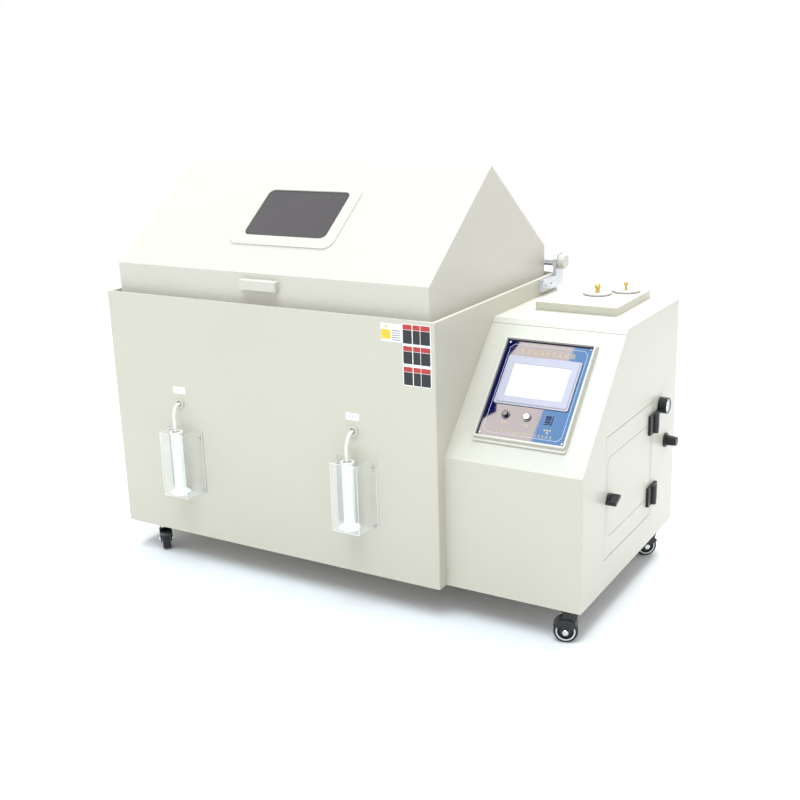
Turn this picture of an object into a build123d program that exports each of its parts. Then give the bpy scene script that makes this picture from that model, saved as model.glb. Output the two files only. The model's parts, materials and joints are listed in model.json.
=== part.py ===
from build123d import *
from math import atan2, cos, radians, sin, tan
import os

os.makedirs("parts", exist_ok=True)

# An environmental test chamber of the salt-spray kind, in millimetres.
# X runs to the right, Y to the rear and Z up. The origin is on the floor, below the middle of the machine.

# Clearances
turn_gap = 0.3
bore_gap = 0.05

# Tank of welded PVC board
tank_width = 1110.0
tank_depth = 775.0
tank_height = 728.0
tank_board = 10.0
tank_edge = 2.5
board_edge = 0.8

# Control cabinet on the right side of the tank
cabinet_width = 384.0
cabinet_front_inset = 37.5
cabinet_rear_inset = 16.0
cabinet_height = 677.0
cabinet_board = 8.0
cabinet_gap = 0.05
slope_angle = 46.3
slope_rise = 314.0
top_lip = 18.0
seam = 1.0

# Angle frame under both boxes
frame_leg = 30.0
frame_thick = 4.0
floor_board = 8.0
gusset_size = 130.0
tie_width = 40.0
tie_inset = 150.0

# Swivel casters
caster_height = 90.0
caster_trail = 12.0
caster_plate_size = 42.0
caster_plate_thick = 3.0
caster_plate_round = 4.0
wheel_diameter = 63.0
wheel_width = 25.0
wheel_side_gap = 1.25
tread_round = 4.0
hub_recess = 4.0
hub_recess_width = 11.0
wheel_hub_radius = 9.0
axle_radius = 4.0
axle_nut_radius = 7.5
axle_nut_thick = 4.0
fork_thick = 2.5
fork_crown_radius = 22.0
fork_crown_thick = 7.7
fork_top_width = 38.0
fork_foot_radius = 14.0
kingpin_radius = 5.0
kingpin_head_radius = 8.0
kingpin_head_thick = 4.0
tank_caster_side_inset = 101.0
tank_caster_front_inset = 47.0
tank_caster_rear_inset = 75.0
cabinet_caster_side_inset = 35.0
cabinet_caster_front_inset = 21.0
cabinet_caster_rear_inset = 91.0

# Water-seal trough round the tank's mouth
trough_width = 50.0
trough_board = 8.0
trough_floor_depth = 25.3
upstand_height = 13.3

# Inner chamber
chamber_side_ledge = 29.0
chamber_front_ledge = 11.5
chamber_height = 500.0
liner_board = 8.0
rack_ledge_width = 20.0
rack_ledge_thick = 8.0
rack_ledge_drop = 104.0

# Pitched lid
lid_side_inset = 31.0
lid_front_inset = 31.5
lid_rear_inset = 31.0
lid_wall = 8.0
lid_wall_height = 107.0
lid_pitch_rise = 268.0
lid_ridge_set = 358.5
lid_edge = 3.0

# Window in the lid's front slope
window_frame_width = 352.0
window_frame_height = 244.0
window_frame_round = 30.0
window_frame_thick = 3.5
window_frame_edge = 1.2
window_frame_set = 226.0
window_shift = -3.0
pane_view_width = 280.0
pane_view_height = 183.0
pane_view_round = 20.0
pane_view_rise = 6.0
pane_overlap = 12.0
pane_thick = 5.0

# Grip on the lid's front wall
handle_width = 124.0
handle_depth = 20.0
handle_height = 28.0
handle_round = 7.0
handle_top_round = 4.0
handle_wall = 6.0
handle_front_wall = 4.0
handle_roof = 10.0
handle_rise = 63.0
handle_shift = -5.0

# Lid hinge
axis_rear_inset = 10.0
axis_rise = 32.0
shaft_radius = 15.0
bracket_thick = 11.0
bracket_foot_length = 144.0
bracket_foot_height = 35.0
bracket_foot_drop = 39.0
bracket_foot_rear = 20.0
bracket_top_radius = 28.0
bracket_heel_round = 24.0
housing_radius = 22.0
housing_length = 20.0
housing_cap = 4.0
housing_edge = 3.0
arm_thick = 12.0
arm_hub_radius = 21.0
arm_spacing = 435.0
arm_base_height = 60.0
arm_base_thick = 4.0

# Collector stations on the tank's front
port_left_inset = 250.0
port_right_inset = 255.0
port_height = 411.0
bushing_radius = 15.5
bushing_bore = 8.0
bushing_flange_thick = 4.0
bushing_neck_radius = 11.0
bushing_reach = 6.0
holder_width = 85.0
holder_depth = 65.0
holder_wall = 3.0
holder_base_height = 141.0
holder_height = 194.0
holder_flange_width = 128.0
holder_round = 5.0
holder_left_shift = 12.0
holder_right_shift = 6.0
cylinder_shift = -8.0
cylinder_set = 32.0
cylinder_radius = 16.0
cylinder_wall = 2.0
cylinder_height = 190.0
cylinder_base_radius = 29.0
cylinder_base_thick = 8.0
cylinder_lip_radius = 19.0
cylinder_lip_height = 6.0
cylinder_foot_rise = 6.0
hose_reach = 34.0
hose_radius = 4.75

# Control panel on the cabinet's slope
panel_shift = -1.0
panel_base_width = 260.0
panel_base_height = 316.0
panel_base_thick = 6.0
panel_base_set = 218.0
panel_top_width = 256.0
panel_top_height = 302.0
panel_top_thick = 9.0
panel_top_set = 220.0
panel_border = 5.5
panel_edge = 1.2
panel_round = 6.0
plate_thick = 3.0
plate_ledge = 11.0
hmi_width = 208.0
hmi_height = 144.0
hmi_proud = 5.0
hmi_shift = 0.0
hmi_set = 245.0
hmi_round = 6.0
hmi_step = 5.0
hmi_step_height = 3.0
hmi_edge = 1.0
hmi_body_inset = 8.0
hmi_body_depth = 38.0
screen_width = 161.0
screen_height = 97.0
screen_recess = 1.5
screen_thick = 1.2
control_set = 144.0
button_shift = -59.5
key_shift = 0.5
rocker_shift = 60.5
collar_radius = 12.0
collar_proud = 2.5
collar_barrel_radius = 10.5
collar_barrel_depth = 18.0
button_radius = 8.0
button_proud = 6.5
button_travel = 3.0
button_edge = 1.5
key_plug_radius = 7.0
key_proud = 4.0
key_slot_width = 1.6
key_slot_depth = 2.0
rocker_frame_width = 21.0
rocker_frame_height = 25.0
rocker_frame_rim = 2.0
rocker_radius = 10.0
rocker_pivot_depth = 4.0
rocker_hollow = 1.6
rocker_proud = 2.5
rocker_side_rim = 1.0

# Lift-off cover on the cabinet's top
cover_width = 239.0
cover_depth = 274.0
cover_height = 23.0
cover_side_inset = 80.0
cover_rear_inset = 19.0
cover_wall = 5.0
cover_edge = 2.0
hatch_rim = 6.0
hatch_rim_height = 12.0
hatch_gap = 1.0
flange_radius = 40.0
flange_thick = 6.0
flange_edge = 1.5
front_flange_x = 117.0
front_flange_y = 115.0
rear_flange_x = 56.0
rear_flange_y = 50.0
stem_bore = 5.5
relief_radius = 8.5
relief_neck_radius = 6.5
relief_height = 24.0
plug_radius = 6.5
plug_neck_radius = 4.0
plug_height = 21.0

# Service door on the cabinet's right side
door_front_inset = 157.5
door_rear_inset = 203.0
door_base = 86.0
door_height = 337.0
door_gap = 1.5
door_stop_thick = 6.0
door_stop_width = 15.0
door_stop_reach = 8.0
door_round = 4.0
door_edge = 0.7
groove_inset = 12.0
groove_height = 223.0
groove_round = 25.0
groove_width = 2.0
groove_depth = 0.8
hinge_leaf = 37.0
hinge_height = 56.0
hinge_thick = 8.0
hinge_knuckle_radius = 9.0
hinge_pin_radius = 3.0
hinge_spacing = 214.0
hinge_web = 4.0

# Wing latch in the door
latch_inset = 20.0
latch_drop = 2.5
latch_base_radius = 15.0
latch_base_thick = 8.0
latch_edge = 2.0
wing_length = 42.0
wing_thick = 12.0
wing_height = 20.0
wing_tilt = 22.0
latch_stem_radius = 4.0
cam_length = 34.0
cam_width = 14.0
cam_thick = 3.0
cam_set = 0.5

# Pressure gauge and regulator on the cabinet's right side
gauge_radius = 23.0
gauge_depth = 25.0
gauge_wall = 2.5
gauge_back = 6.0
gauge_lens_thick = 2.0
gauge_lens_set = 1.0
gauge_dial_drop = 7.0
gauge_edge = 1.5
gauge_stem_radius = 6.5
gauge_stem_length = 28.0
gauge_rear_inset = 142.0
gauge_height = 397.0
regulator_rear_inset = 85.0
regulator_height = 275.0
nut_radius = 21.0
nut_thick = 6.0
nut_edge = 2.0
regulator_neck_radius = 10.0
regulator_body_size = 50.0
regulator_body_height = 90.0
regulator_bowl_radius = 19.0
regulator_bowl_height = 55.0
regulator_gap = 4.0
regulator_round = 6.0
knob_radius = 15.0
knob_length = 30.0
knob_edge = 2.0
knob_flute_count = 12
knob_flute_radius = 2.0
knob_flute_set = 0.8
knob_taper = 2.0
knob_spindle_radius = 4.0
knob_spindle_length = 24.0

# Round-headed screws
screw_radius = 4.0
screw_thick = 2.4
screw_edge_inset = 10.0
plate_screw_inset = 8.0
holder_screw_drop = 18.0

# Pipe ends and cable entry at the rear
spigot_length = 40.0
exhaust_radius = 25.0
exhaust_side_inset = 205.0
exhaust_height = 560.0
drain_radius = 12.5
drain_side_inset = 205.0
drain_height = 236.0
pipe_wall = 3.0
air_inlet_radius = 6.0
air_inlet_wall = 1.5
air_inlet_length = 26.0
air_inlet_side_inset = 94.0
air_inlet_height = 240.0
rear_flange_width = 8.0
rear_flange_thick = 4.0
gland_radius = 12.0
gland_length = 22.0
gland_bore = 5.0
gland_side_inset = 60.0
gland_height = 110.0

# Fittings in the chamber
tower_radius = 55.0
tower_wall = 4.0
tower_height = 344.0
tower_base_radius = 80.0
tower_base_thick = 8.0
tower_post_radius = 4.0
tower_post_height = 28.0
tower_hat_radius = 70.0
tower_hat_height = 36.0
tower_post_foot = 20.0
tower_hat_drop = 4.0
nozzle_radius = 12.0
nozzle_height = 70.0
nozzle_tip_radius = 3.0
nozzle_foot_radius = 19.2
nozzle_foot_height = 6.0
nozzle_foot_rise = 4.0
nozzle_arm_radius = 6.0
nozzle_arm_length = 34.0
funnel_radius = 50.0
funnel_wall = 2.5
funnel_cone_height = 70.0
funnel_stem_radius = 6.0
funnel_stem_bore = 4.0
funnel_set = 157.0
funnel_top = 560.0
funnel_neck_rise = 20.0
funnel_stem_bend = 16.0
rack_bar_thick = 8.0
rack_bar_height = 30.0
rack_bar_inset = 92.0
rack_side_gap = 4.0
rack_notch_pitch = 48.0
rack_notch_depth = 12.0
rod_radius = 5.0
rod_overhang = 14.0
heater_radius = 6.0
heater_side_gap = 140.0
heater_bend_radius = 35.0
heater_lift = 22.0
heater_rear_inset = 60.0
heater_foot_thick = 6.0
heater_foot_side = 4.0
heater_foot_inset = 30.0
heater_return = 80.0
probe_radius = 3.0
probe_length = 90.0
probe_nut_radius = 8.0
probe_nut_thick = 8.0
probe_height = 480.0

# Fittings in the cabinet
barrel_radius = 75.0
barrel_height = 380.0
barrel_wall = 3.0
barrel_dome = 30.0
barrel_side_inset = 99.0
barrel_rear_inset = 199.0
barrel_boss_radius = 10.0
barrel_boss_height = 18.0
brine_width = 180.0
brine_depth = 230.0
brine_height = 380.0
brine_wall = 4.0
brine_round = 20.0
brine_side_gap = 12.0
brine_rear_gap = 10.0
electrical_depth = 300.0
electrical_height = 290.0
electrical_thick = 3.0
electrical_set = 70.0
electrical_lift = 90.0
module_depth = 60.0
module_height = 80.0
module_reach = 55.0
module_pitch = 72.0
module_rows = 2
module_columns = 3
module_row_pitch = 130.0
module_rail_height = 35.0
module_rail_thick = 7.0
module_rail_inset = 15.0

# Overall places, worked out from the sizes above
left_reach = bracket_thick + housing_length
right_reach = nut_thick + turn_gap + knob_length
tank_left = -(left_reach + tank_width + cabinet_width + right_reach) / 2 + left_reach
tank_right = tank_left + tank_width
tank_mid = (tank_left + tank_right) / 2
cab_right = tank_right + cabinet_width
tank_front = -(holder_depth + tank_depth + spigot_length) / 2 + holder_depth
tank_rear = tank_front + tank_depth
cab_front = tank_front + cabinet_front_inset
cab_rear = tank_rear - cabinet_rear_inset
base_z = caster_height
tank_top = base_z + tank_height
cab_top = base_z + cabinet_height
floor_z = base_z + frame_leg

# The cabinet's outline in Y and Z, and the plane of its slope
slope_length = slope_rise / sin(radians(slope_angle))
slope_top_y = cab_front + slope_rise / tan(radians(slope_angle))
slope_low_z = cab_top - slope_rise
slope_dir = (cos(radians(slope_angle)), sin(radians(slope_angle)))
cabinet_mid = (tank_right + cab_right) / 2
panel_x = cabinet_mid + panel_shift
slope_plane = Plane(
    origin=(panel_x, cab_front, slope_low_z),
    x_dir=(1, 0, 0),
    z_dir=(0, -slope_dir[1], slope_dir[0]),
)


def slope_point(along, depth):
    """A point in Y and Z on the slope: along it from its foot, and at a depth below its face."""
    y = cab_front + along * slope_dir[0] + depth * slope_dir[1]
    z = slope_low_z + along * slope_dir[1] - depth * slope_dir[0]
    return (y, z)


def save(builder, name):
    builder.part.label = name
    export_step(builder.part, f"parts/{name}.step")


# Tank shell: four walls, a floor board above the frame, and holes for the pipes
front_ports = (tank_left + port_left_inset, tank_right - port_right_inset)
port_z = base_z + port_height
exhaust_x = tank_left + exhaust_side_inset
exhaust_z = base_z + exhaust_height
drain_x = tank_right - drain_side_inset
drain_z = base_z + drain_height
tie_ys = (tank_front + tie_inset, tank_rear - tie_inset)
tank_mid_y = (tank_front + tank_rear) / 2

with BuildPart() as tank_shell:
    with BuildSketch(Plane.XY.offset(base_z)):
        with Locations((tank_mid, tank_mid_y)):
            Rectangle(tank_width, tank_depth)
    extrude(amount=tank_height)
    chamfer(tank_shell.edges().filter_by(Axis.Z), tank_edge)
    with BuildSketch(Plane.XY.offset(floor_z + floor_board)):
        with Locations((tank_mid, tank_mid_y)):
            Rectangle(tank_width - 2 * tank_board, tank_depth - 2 * tank_board)
    extrude(amount=tank_height, mode=Mode.SUBTRACT)
    chamfer(tank_shell.faces().sort_by(Axis.Z)[-1].edges(), board_edge)
    with BuildSketch(Plane.XY.offset(base_z)):
        with Locations((tank_mid, tank_mid_y)):
            Rectangle(tank_width - 2 * tank_board, tank_depth - 2 * tank_board)
    extrude(amount=frame_leg, mode=Mode.SUBTRACT)
    with BuildSketch(Plane.XZ.offset(-tank_front)):
        with Locations(*[(x, port_z) for x in front_ports]):
            Circle(bushing_neck_radius)
    extrude(amount=-tank_board, mode=Mode.SUBTRACT)
    with BuildSketch(Plane.XZ.offset(-tank_rear)):
        with Locations((exhaust_x, exhaust_z)):
            Circle(exhaust_radius)
        with Locations((drain_x, drain_z)):
            Circle(drain_radius)
    extrude(amount=tank_board, mode=Mode.SUBTRACT)
    with BuildSketch(Plane.XY.offset(base_z)):
        with Locations(*[(tank_right - tank_board / 2, y) for y in tie_ys]):
            Rectangle(tank_board, tie_width)
    extrude(amount=frame_thick, mode=Mode.SUBTRACT)
save(tank_shell, "tank_shell")

# Water-seal trough: a floor ring, an inner upstand and the ledge that meets the liner
trough_outer = (tank_width - 2 * tank_board, tank_depth - 2 * tank_board)
trough_inner = (trough_outer[0] - 2 * trough_width, trough_outer[1] - 2 * trough_width)
upstand_inner = (trough_inner[0] - 2 * trough_board, trough_inner[1] - 2 * trough_board)
liner_outer = (upstand_inner[0] - 2 * chamber_side_ledge, upstand_inner[1] - 2 * chamber_front_ledge)
chamber_width = liner_outer[0] - 2 * liner_board
chamber_depth = liner_outer[1] - 2 * liner_board
trough_floor_top = tank_top - trough_floor_depth
rim_z = trough_floor_top + upstand_height

with BuildPart() as rim_trough:
    with BuildSketch(Plane.XY.offset(trough_floor_top - trough_board)):
        with Locations((tank_mid, tank_mid_y)):
            Rectangle(*trough_outer)
            Rectangle(*upstand_inner, mode=Mode.SUBTRACT)
    extrude(amount=trough_board)
    with BuildSketch(Plane.XY.offset(trough_floor_top)):
        with Locations((tank_mid, tank_mid_y)):
            Rectangle(*trough_inner)
            Rectangle(*upstand_inner, mode=Mode.SUBTRACT)
    extrude(amount=upstand_height)
    with BuildSketch(Plane.XY.offset(rim_z - trough_board)):
        with Locations((tank_mid, tank_mid_y)):
            Rectangle(*trough_inner)
            Rectangle(*liner_outer, mode=Mode.SUBTRACT)
    extrude(amount=trough_board)
save(rim_trough, "rim_trough")

# Chamber liner with a ledge at each end for the sample rack
liner_floor_z = rim_z - chamber_height
ledge_top = rim_z - rack_ledge_drop
chamber_left = tank_mid - chamber_width / 2
chamber_right = tank_mid + chamber_width / 2
chamber_front = tank_mid_y - chamber_depth / 2
chamber_rear = tank_mid_y + chamber_depth / 2

with BuildPart() as chamber_liner:
    with BuildSketch(Plane.XY.offset(liner_floor_z - liner_board)):
        with Locations((tank_mid, tank_mid_y)):
            Rectangle(*liner_outer)
    extrude(amount=chamber_height + liner_board)
    with BuildSketch(Plane.XY.offset(liner_floor_z)):
        with Locations((tank_mid, tank_mid_y)):
            Rectangle(chamber_width, chamber_depth)
    extrude(amount=chamber_height, mode=Mode.SUBTRACT)
    with BuildSketch(Plane.XY.offset(ledge_top - rack_ledge_thick)):
        with Locations(
            (chamber_left + rack_ledge_width / 2, tank_mid_y),
            (chamber_right - rack_ledge_width / 2, tank_mid_y),
        ):
            Rectangle(rack_ledge_width, chamber_depth)
    extrude(amount=rack_ledge_thick)
    with BuildSketch(Plane.XZ.offset(-chamber_front)):
        with Locations(*[(x, port_z) for x in front_ports]):
            Circle(funnel_stem_radius)
    extrude(amount=liner_board, mode=Mode.SUBTRACT)
    with BuildSketch(Plane.XZ.offset(-chamber_rear)):
        with Locations((exhaust_x, exhaust_z)):
            Circle(exhaust_radius)
        with Locations((drain_x, drain_z)):
            Circle(drain_radius)
        with Locations((tank_mid, base_z + probe_height)):
            Circle(probe_radius)
    extrude(amount=-liner_board, mode=Mode.SUBTRACT)
save(chamber_liner, "chamber_liner")

# Angle frame: a ring under each box, corner gussets for the casters and two ties between the boxes
cab_inner_left = tank_right + cabinet_board
cab_inner_right = cab_right - cabinet_board
cab_inner_front = cab_front + cabinet_board
cab_inner_rear = cab_rear - cabinet_board
frame_rings = (
    (tank_mid, tank_mid_y, trough_outer[0], trough_outer[1]),
    (
        (cab_inner_left + cab_inner_right) / 2,
        (cab_inner_front + cab_inner_rear) / 2,
        cab_inner_right - cab_inner_left,
        cab_inner_rear - cab_inner_front,
    ),
)

with BuildPart() as base_frame:
    for ring_x, ring_y, ring_w, ring_d in frame_rings:
        with BuildSketch(Plane.XY.offset(base_z)):
            with Locations((ring_x, ring_y)):
                Rectangle(ring_w, ring_d)
                Rectangle(ring_w - 2 * frame_leg, ring_d - 2 * frame_leg, mode=Mode.SUBTRACT)
        extrude(amount=frame_thick)
        with BuildSketch(Plane.XY.offset(base_z)):
            with Locations((ring_x, ring_y)):
                Rectangle(ring_w, ring_d)
                Rectangle(ring_w - 2 * frame_thick, ring_d - 2 * frame_thick, mode=Mode.SUBTRACT)
        extrude(amount=frame_leg)
    with BuildSketch(Plane.XY.offset(base_z)):
        for gusset_y in (
            tank_front + tank_board + gusset_size / 2,
            tank_rear - tank_board - gusset_size / 2,
        ):
            with Locations((tank_left + tank_board + gusset_size / 2, gusset_y)):
                Rectangle(gusset_size, gusset_size)
        for gusset_y in (cab_inner_front + gusset_size / 2, cab_inner_rear - gusset_size / 2):
            with Locations((cab_inner_right - gusset_size / 2, gusset_y)):
                Rectangle(gusset_size, gusset_size)
        with Locations(*[((tank_right - tank_board + cab_inner_left) / 2, y) for y in tie_ys]):
            Rectangle(tank_board + cabinet_board + 2 * frame_leg, tie_width)
    extrude(amount=frame_thick)
save(base_frame, "base_frame")

# Lid hinge brackets on the tank's sides, each bored for the shaft
axis_y = tank_rear - axis_rear_inset
axis_z = tank_top + axis_rise
bracket_rear = axis_y + bracket_foot_rear
foot_low = tank_top - bracket_foot_drop

with BuildPart() as hinge_brackets:
    for bracket_x in (tank_left - bracket_thick, tank_right):
        with BuildSketch(Plane.YZ.offset(bracket_x)) as bracket_face:
            with Locations((bracket_rear - bracket_foot_length / 2, foot_low + bracket_foot_height / 2)):
                Rectangle(bracket_foot_length, bracket_foot_height)
            with Locations((axis_y, (foot_low + axis_z) / 2)):
                Rectangle(2 * bracket_top_radius, axis_z - foot_low)
            with Locations((axis_y, axis_z)):
                Circle(bracket_top_radius)
            heel = bracket_face.vertices().group_by(Axis.Y)[-1].sort_by(Axis.Z)[0]
            fillet(heel, bracket_heel_round)
            with Locations((axis_y, axis_z)):
                Circle(shaft_radius + bore_gap, mode=Mode.SUBTRACT)
        extrude(amount=bracket_thick)
save(hinge_brackets, "hinge_brackets")

with BuildPart() as bearing_housings:
    for side_x, outward in ((tank_left - bracket_thick, -1), (tank_right + bracket_thick, 1)):
        with BuildSketch(Plane.YZ.offset(side_x)):
            with Locations((axis_y, axis_z)):
                Circle(housing_radius)
        extrude(amount=outward * housing_length)
        with BuildSketch(Plane.YZ.offset(side_x)):
            with Locations((axis_y, axis_z)):
                Circle(shaft_radius + bore_gap)
        extrude(amount=outward * (housing_length - housing_cap), mode=Mode.SUBTRACT)
    housing_ends = bearing_housings.faces().filter_by(Axis.X)
    fillet(housing_ends.sort_by(Axis.X)[0].edges(), housing_edge)
    fillet(bearing_housings.faces().filter_by(Axis.X).sort_by(Axis.X)[-1].edges(), housing_edge)
save(bearing_housings, "bearing_housings")

# Shaft of the lid hinge, which turns with the lid
shaft_left = tank_left - bracket_thick - housing_length + housing_cap + turn_gap
shaft_right = tank_right + bracket_thick + housing_length - housing_cap - turn_gap
with BuildPart() as hinge_shaft:
    with BuildSketch(Plane.YZ.offset(shaft_left)):
        with Locations((axis_y, axis_z)):
            Circle(shaft_radius)
    extrude(amount=shaft_right - shaft_left)
save(hinge_shaft, "hinge_shaft")

# Pitched lid shell, open below, with a window hole in its front slope
lid_left = tank_left + lid_side_inset
lid_width = tank_width - 2 * lid_side_inset
lid_front = tank_front + lid_front_inset
lid_rear = tank_rear - lid_rear_inset
lid_bottom = trough_floor_top + turn_gap
lid_eave = lid_bottom + lid_wall_height
ridge_y = lid_front + lid_ridge_set
ridge_z = lid_eave + lid_pitch_rise
pitch = atan2(lid_pitch_rise, lid_ridge_set)
window_x = tank_mid + window_shift
lid_slope = Plane(
    origin=(window_x, lid_front, lid_eave),
    x_dir=(1, 0, 0),
    z_dir=(0, -sin(pitch), cos(pitch)),
)
pane_set = window_frame_set + pane_view_rise
pane_width = pane_view_width + 2 * pane_overlap
pane_height = pane_view_height + 2 * pane_overlap
pane_round = pane_view_round + pane_overlap

with BuildPart() as lid_shell:
    with BuildSketch(Plane.YZ.offset(lid_left)):
        with BuildLine():
            Polyline(
                (lid_front, lid_bottom),
                (lid_front, lid_eave),
                (ridge_y, ridge_z),
                (lid_rear, lid_eave),
                (lid_rear, lid_bottom),
                close=True,
            )
        make_face()
    extrude(amount=lid_width)
    offset(amount=-lid_wall, openings=lid_shell.faces().sort_by(Axis.Z)[0])
    ridge = lid_shell.edges().filter_by(Axis.X).sort_by(Axis.Z)[-1]
    fillet(ridge, lid_edge)
    with BuildSketch(lid_slope):
        with Locations((0, pane_set)):
            RectangleRounded(pane_width + 2 * turn_gap, pane_height + 2 * turn_gap, pane_round)
    extrude(amount=-2 * lid_wall, mode=Mode.SUBTRACT)
save(lid_shell, "lid_shell")

with BuildPart() as window_frame:
    with BuildSketch(lid_slope):
        with Locations((0, window_frame_set)):
            RectangleRounded(window_frame_width, window_frame_height, window_frame_round)
    extrude(amount=window_frame_thick)
    with BuildSketch(lid_slope):
        with Locations((0, pane_set)):
            RectangleRounded(pane_view_width, pane_view_height, pane_view_round)
    extrude(amount=window_frame_thick, mode=Mode.SUBTRACT)
    frame_faces = window_frame.faces().filter_by(lid_slope).sort_by(Axis(lid_slope.origin, lid_slope.z_dir))
    fillet(frame_faces[-1].edges(), window_frame_edge)
save(window_frame, "window_frame")

with BuildPart() as window_pane:
    with BuildSketch(lid_slope):
        with Locations((0, pane_set)):
            RectangleRounded(pane_width, pane_height, pane_round)
    extrude(amount=-pane_thick)
save(window_pane, "window_pane")

# Grip: a block with rounded ends, hollowed below for the fingers
handle_x = tank_mid + handle_shift
handle_z = lid_bottom + handle_rise
with BuildPart() as lid_handle:
    with BuildSketch(Plane.XY.offset(handle_z)):
        with Locations((handle_x, lid_front - handle_depth / 2)):
            Rectangle(handle_width, handle_depth)
    extrude(amount=handle_height)
    fillet(lid_handle.edges().filter_by(Axis.Z).group_by(Axis.Y)[0], handle_round)
    fillet(lid_handle.faces().sort_by(Axis.Z)[-1].edges().sort_by(Axis.Y)[:-1], handle_top_round)
    with BuildSketch(Plane.XY.offset(handle_z)):
        with Locations((handle_x, lid_front - handle_depth / 2)):
            grip_depth = handle_depth - handle_wall - handle_front_wall
            RectangleRounded(handle_width - 2 * handle_wall, grip_depth, handle_top_round)
    extrude(amount=handle_height - handle_roof, mode=Mode.SUBTRACT)
save(lid_handle, "lid_handle")

# Arms from the lid's rear wall to the shaft
arm_xs = [tank_mid + k * arm_spacing for k in (-1, 0, 1)]
with BuildPart() as hinge_arms:
    for arm_x in arm_xs:
        with BuildSketch(Plane.YZ.offset(arm_x - arm_thick / 2)):
            with Locations((axis_y, axis_z)):
                Circle(arm_hub_radius)
            with Locations((lid_rear + arm_base_thick / 2, axis_z)):
                Rectangle(arm_base_thick, arm_base_height)
            make_hull()
            with Locations((axis_y, axis_z)):
                Circle(shaft_radius + bore_gap, mode=Mode.SUBTRACT)
        extrude(amount=arm_thick)
save(hinge_arms, "hinge_arms")

# Collector pockets, bent from clear sheet with a flange at each side
holder_xs = (front_ports[0] + holder_left_shift, front_ports[1] + holder_right_shift)
holder_z = base_z + holder_base_height


def make_holder(name, x):
    with BuildPart() as holder:
        with BuildSketch(Plane.XY.offset(holder_z)):
            with Locations((x, tank_front - holder_depth / 2)):
                Rectangle(holder_width, holder_depth)
        extrude(amount=holder_height)
        fillet(holder.edges().filter_by(Axis.Z).group_by(Axis.Y)[0], holder_round)
        with BuildSketch(Plane.XY.offset(holder_z + holder_wall)):
            inner_depth = holder_depth - holder_wall
            with Locations((x, tank_front - inner_depth / 2)):
                Rectangle(holder_width - 2 * holder_wall, inner_depth)
        extrude(amount=holder_height, mode=Mode.SUBTRACT)
        with BuildSketch(Plane.XY.offset(holder_z)):
            for side in (-1, 1):
                flange = (holder_flange_width - holder_width) / 2 + holder_wall
                flange_x = x + side * (holder_flange_width - flange) / 2
                with Locations((flange_x, tank_front - holder_wall / 2)):
                    Rectangle(flange, holder_wall)
        extrude(amount=holder_height)
    save(holder, name)


make_holder("holder_left", holder_xs[0])
make_holder("holder_right", holder_xs[1])

# Measuring cylinders: a foot, a thin tube and a rolled lip, turned in one profile
cylinder_xs = [x + cylinder_shift for x in holder_xs]
cylinder_y = tank_front - cylinder_set
cylinder_z = holder_z + holder_wall
with BuildPart() as measuring_cylinders:
    for x in cylinder_xs:
        with BuildSketch(Plane(origin=(x, cylinder_y, cylinder_z), x_dir=(1, 0, 0), z_dir=(0, -1, 0))):
            with BuildLine():
                bore = cylinder_radius - cylinder_wall
                Polyline(
                    (0, 0),
                    (cylinder_base_radius, 0),
                    (cylinder_base_radius, cylinder_base_thick / 2),
                    (cylinder_radius, cylinder_base_thick + cylinder_foot_rise),
                    (cylinder_radius, cylinder_height - cylinder_lip_height),
                    (cylinder_lip_radius, cylinder_height - cylinder_lip_height / 3),
                    (cylinder_lip_radius, cylinder_height),
                    (bore, cylinder_height),
                    (bore, cylinder_base_thick),
                    (0, cylinder_base_thick),
                    close=True,
                )
            make_face()
        revolve(axis=Axis((x, cylinder_y, cylinder_z), (0, 0, 1)))
save(measuring_cylinders, "measuring_cylinders")

# Hoses: from inside each port, out and down into the cylinder's mouth
hose_end_z = cylinder_z + cylinder_height - hose_reach
with BuildPart() as collector_hoses:
    for port_x, mouth_x in zip(front_ports, cylinder_xs):
        route = [
            Vector(port_x, tank_front + 4, port_z),
            Vector(port_x, tank_front - 16, port_z),
            Vector(port_x + 1, tank_front - 29, port_z - 13),
            Vector(mouth_x - 1, cylinder_y - 2, port_z - 37),
            Vector(mouth_x, cylinder_y - 1, port_z - 69),
            Vector(mouth_x, cylinder_y, hose_end_z),
        ]
        radii = []
        for a, b, c in zip(route, route[1:], route[2:]):
            turn = radians((b - a).get_angle(c - b))
            radii.append(0.45 * min((b - a).length, (c - b).length) / tan(turn / 2))
        print("hose bend radii", [round(r, 1) for r in radii])
        with BuildLine() as hose_path:
            FilletPolyline(*route, radius=radii)
        start = Plane(origin=hose_path.line @ 0, z_dir=hose_path.line % 0)
        with BuildSketch(start):
            Circle(hose_radius)
        sweep(path=hose_path.line)
save(collector_hoses, "collector_hoses")

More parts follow.
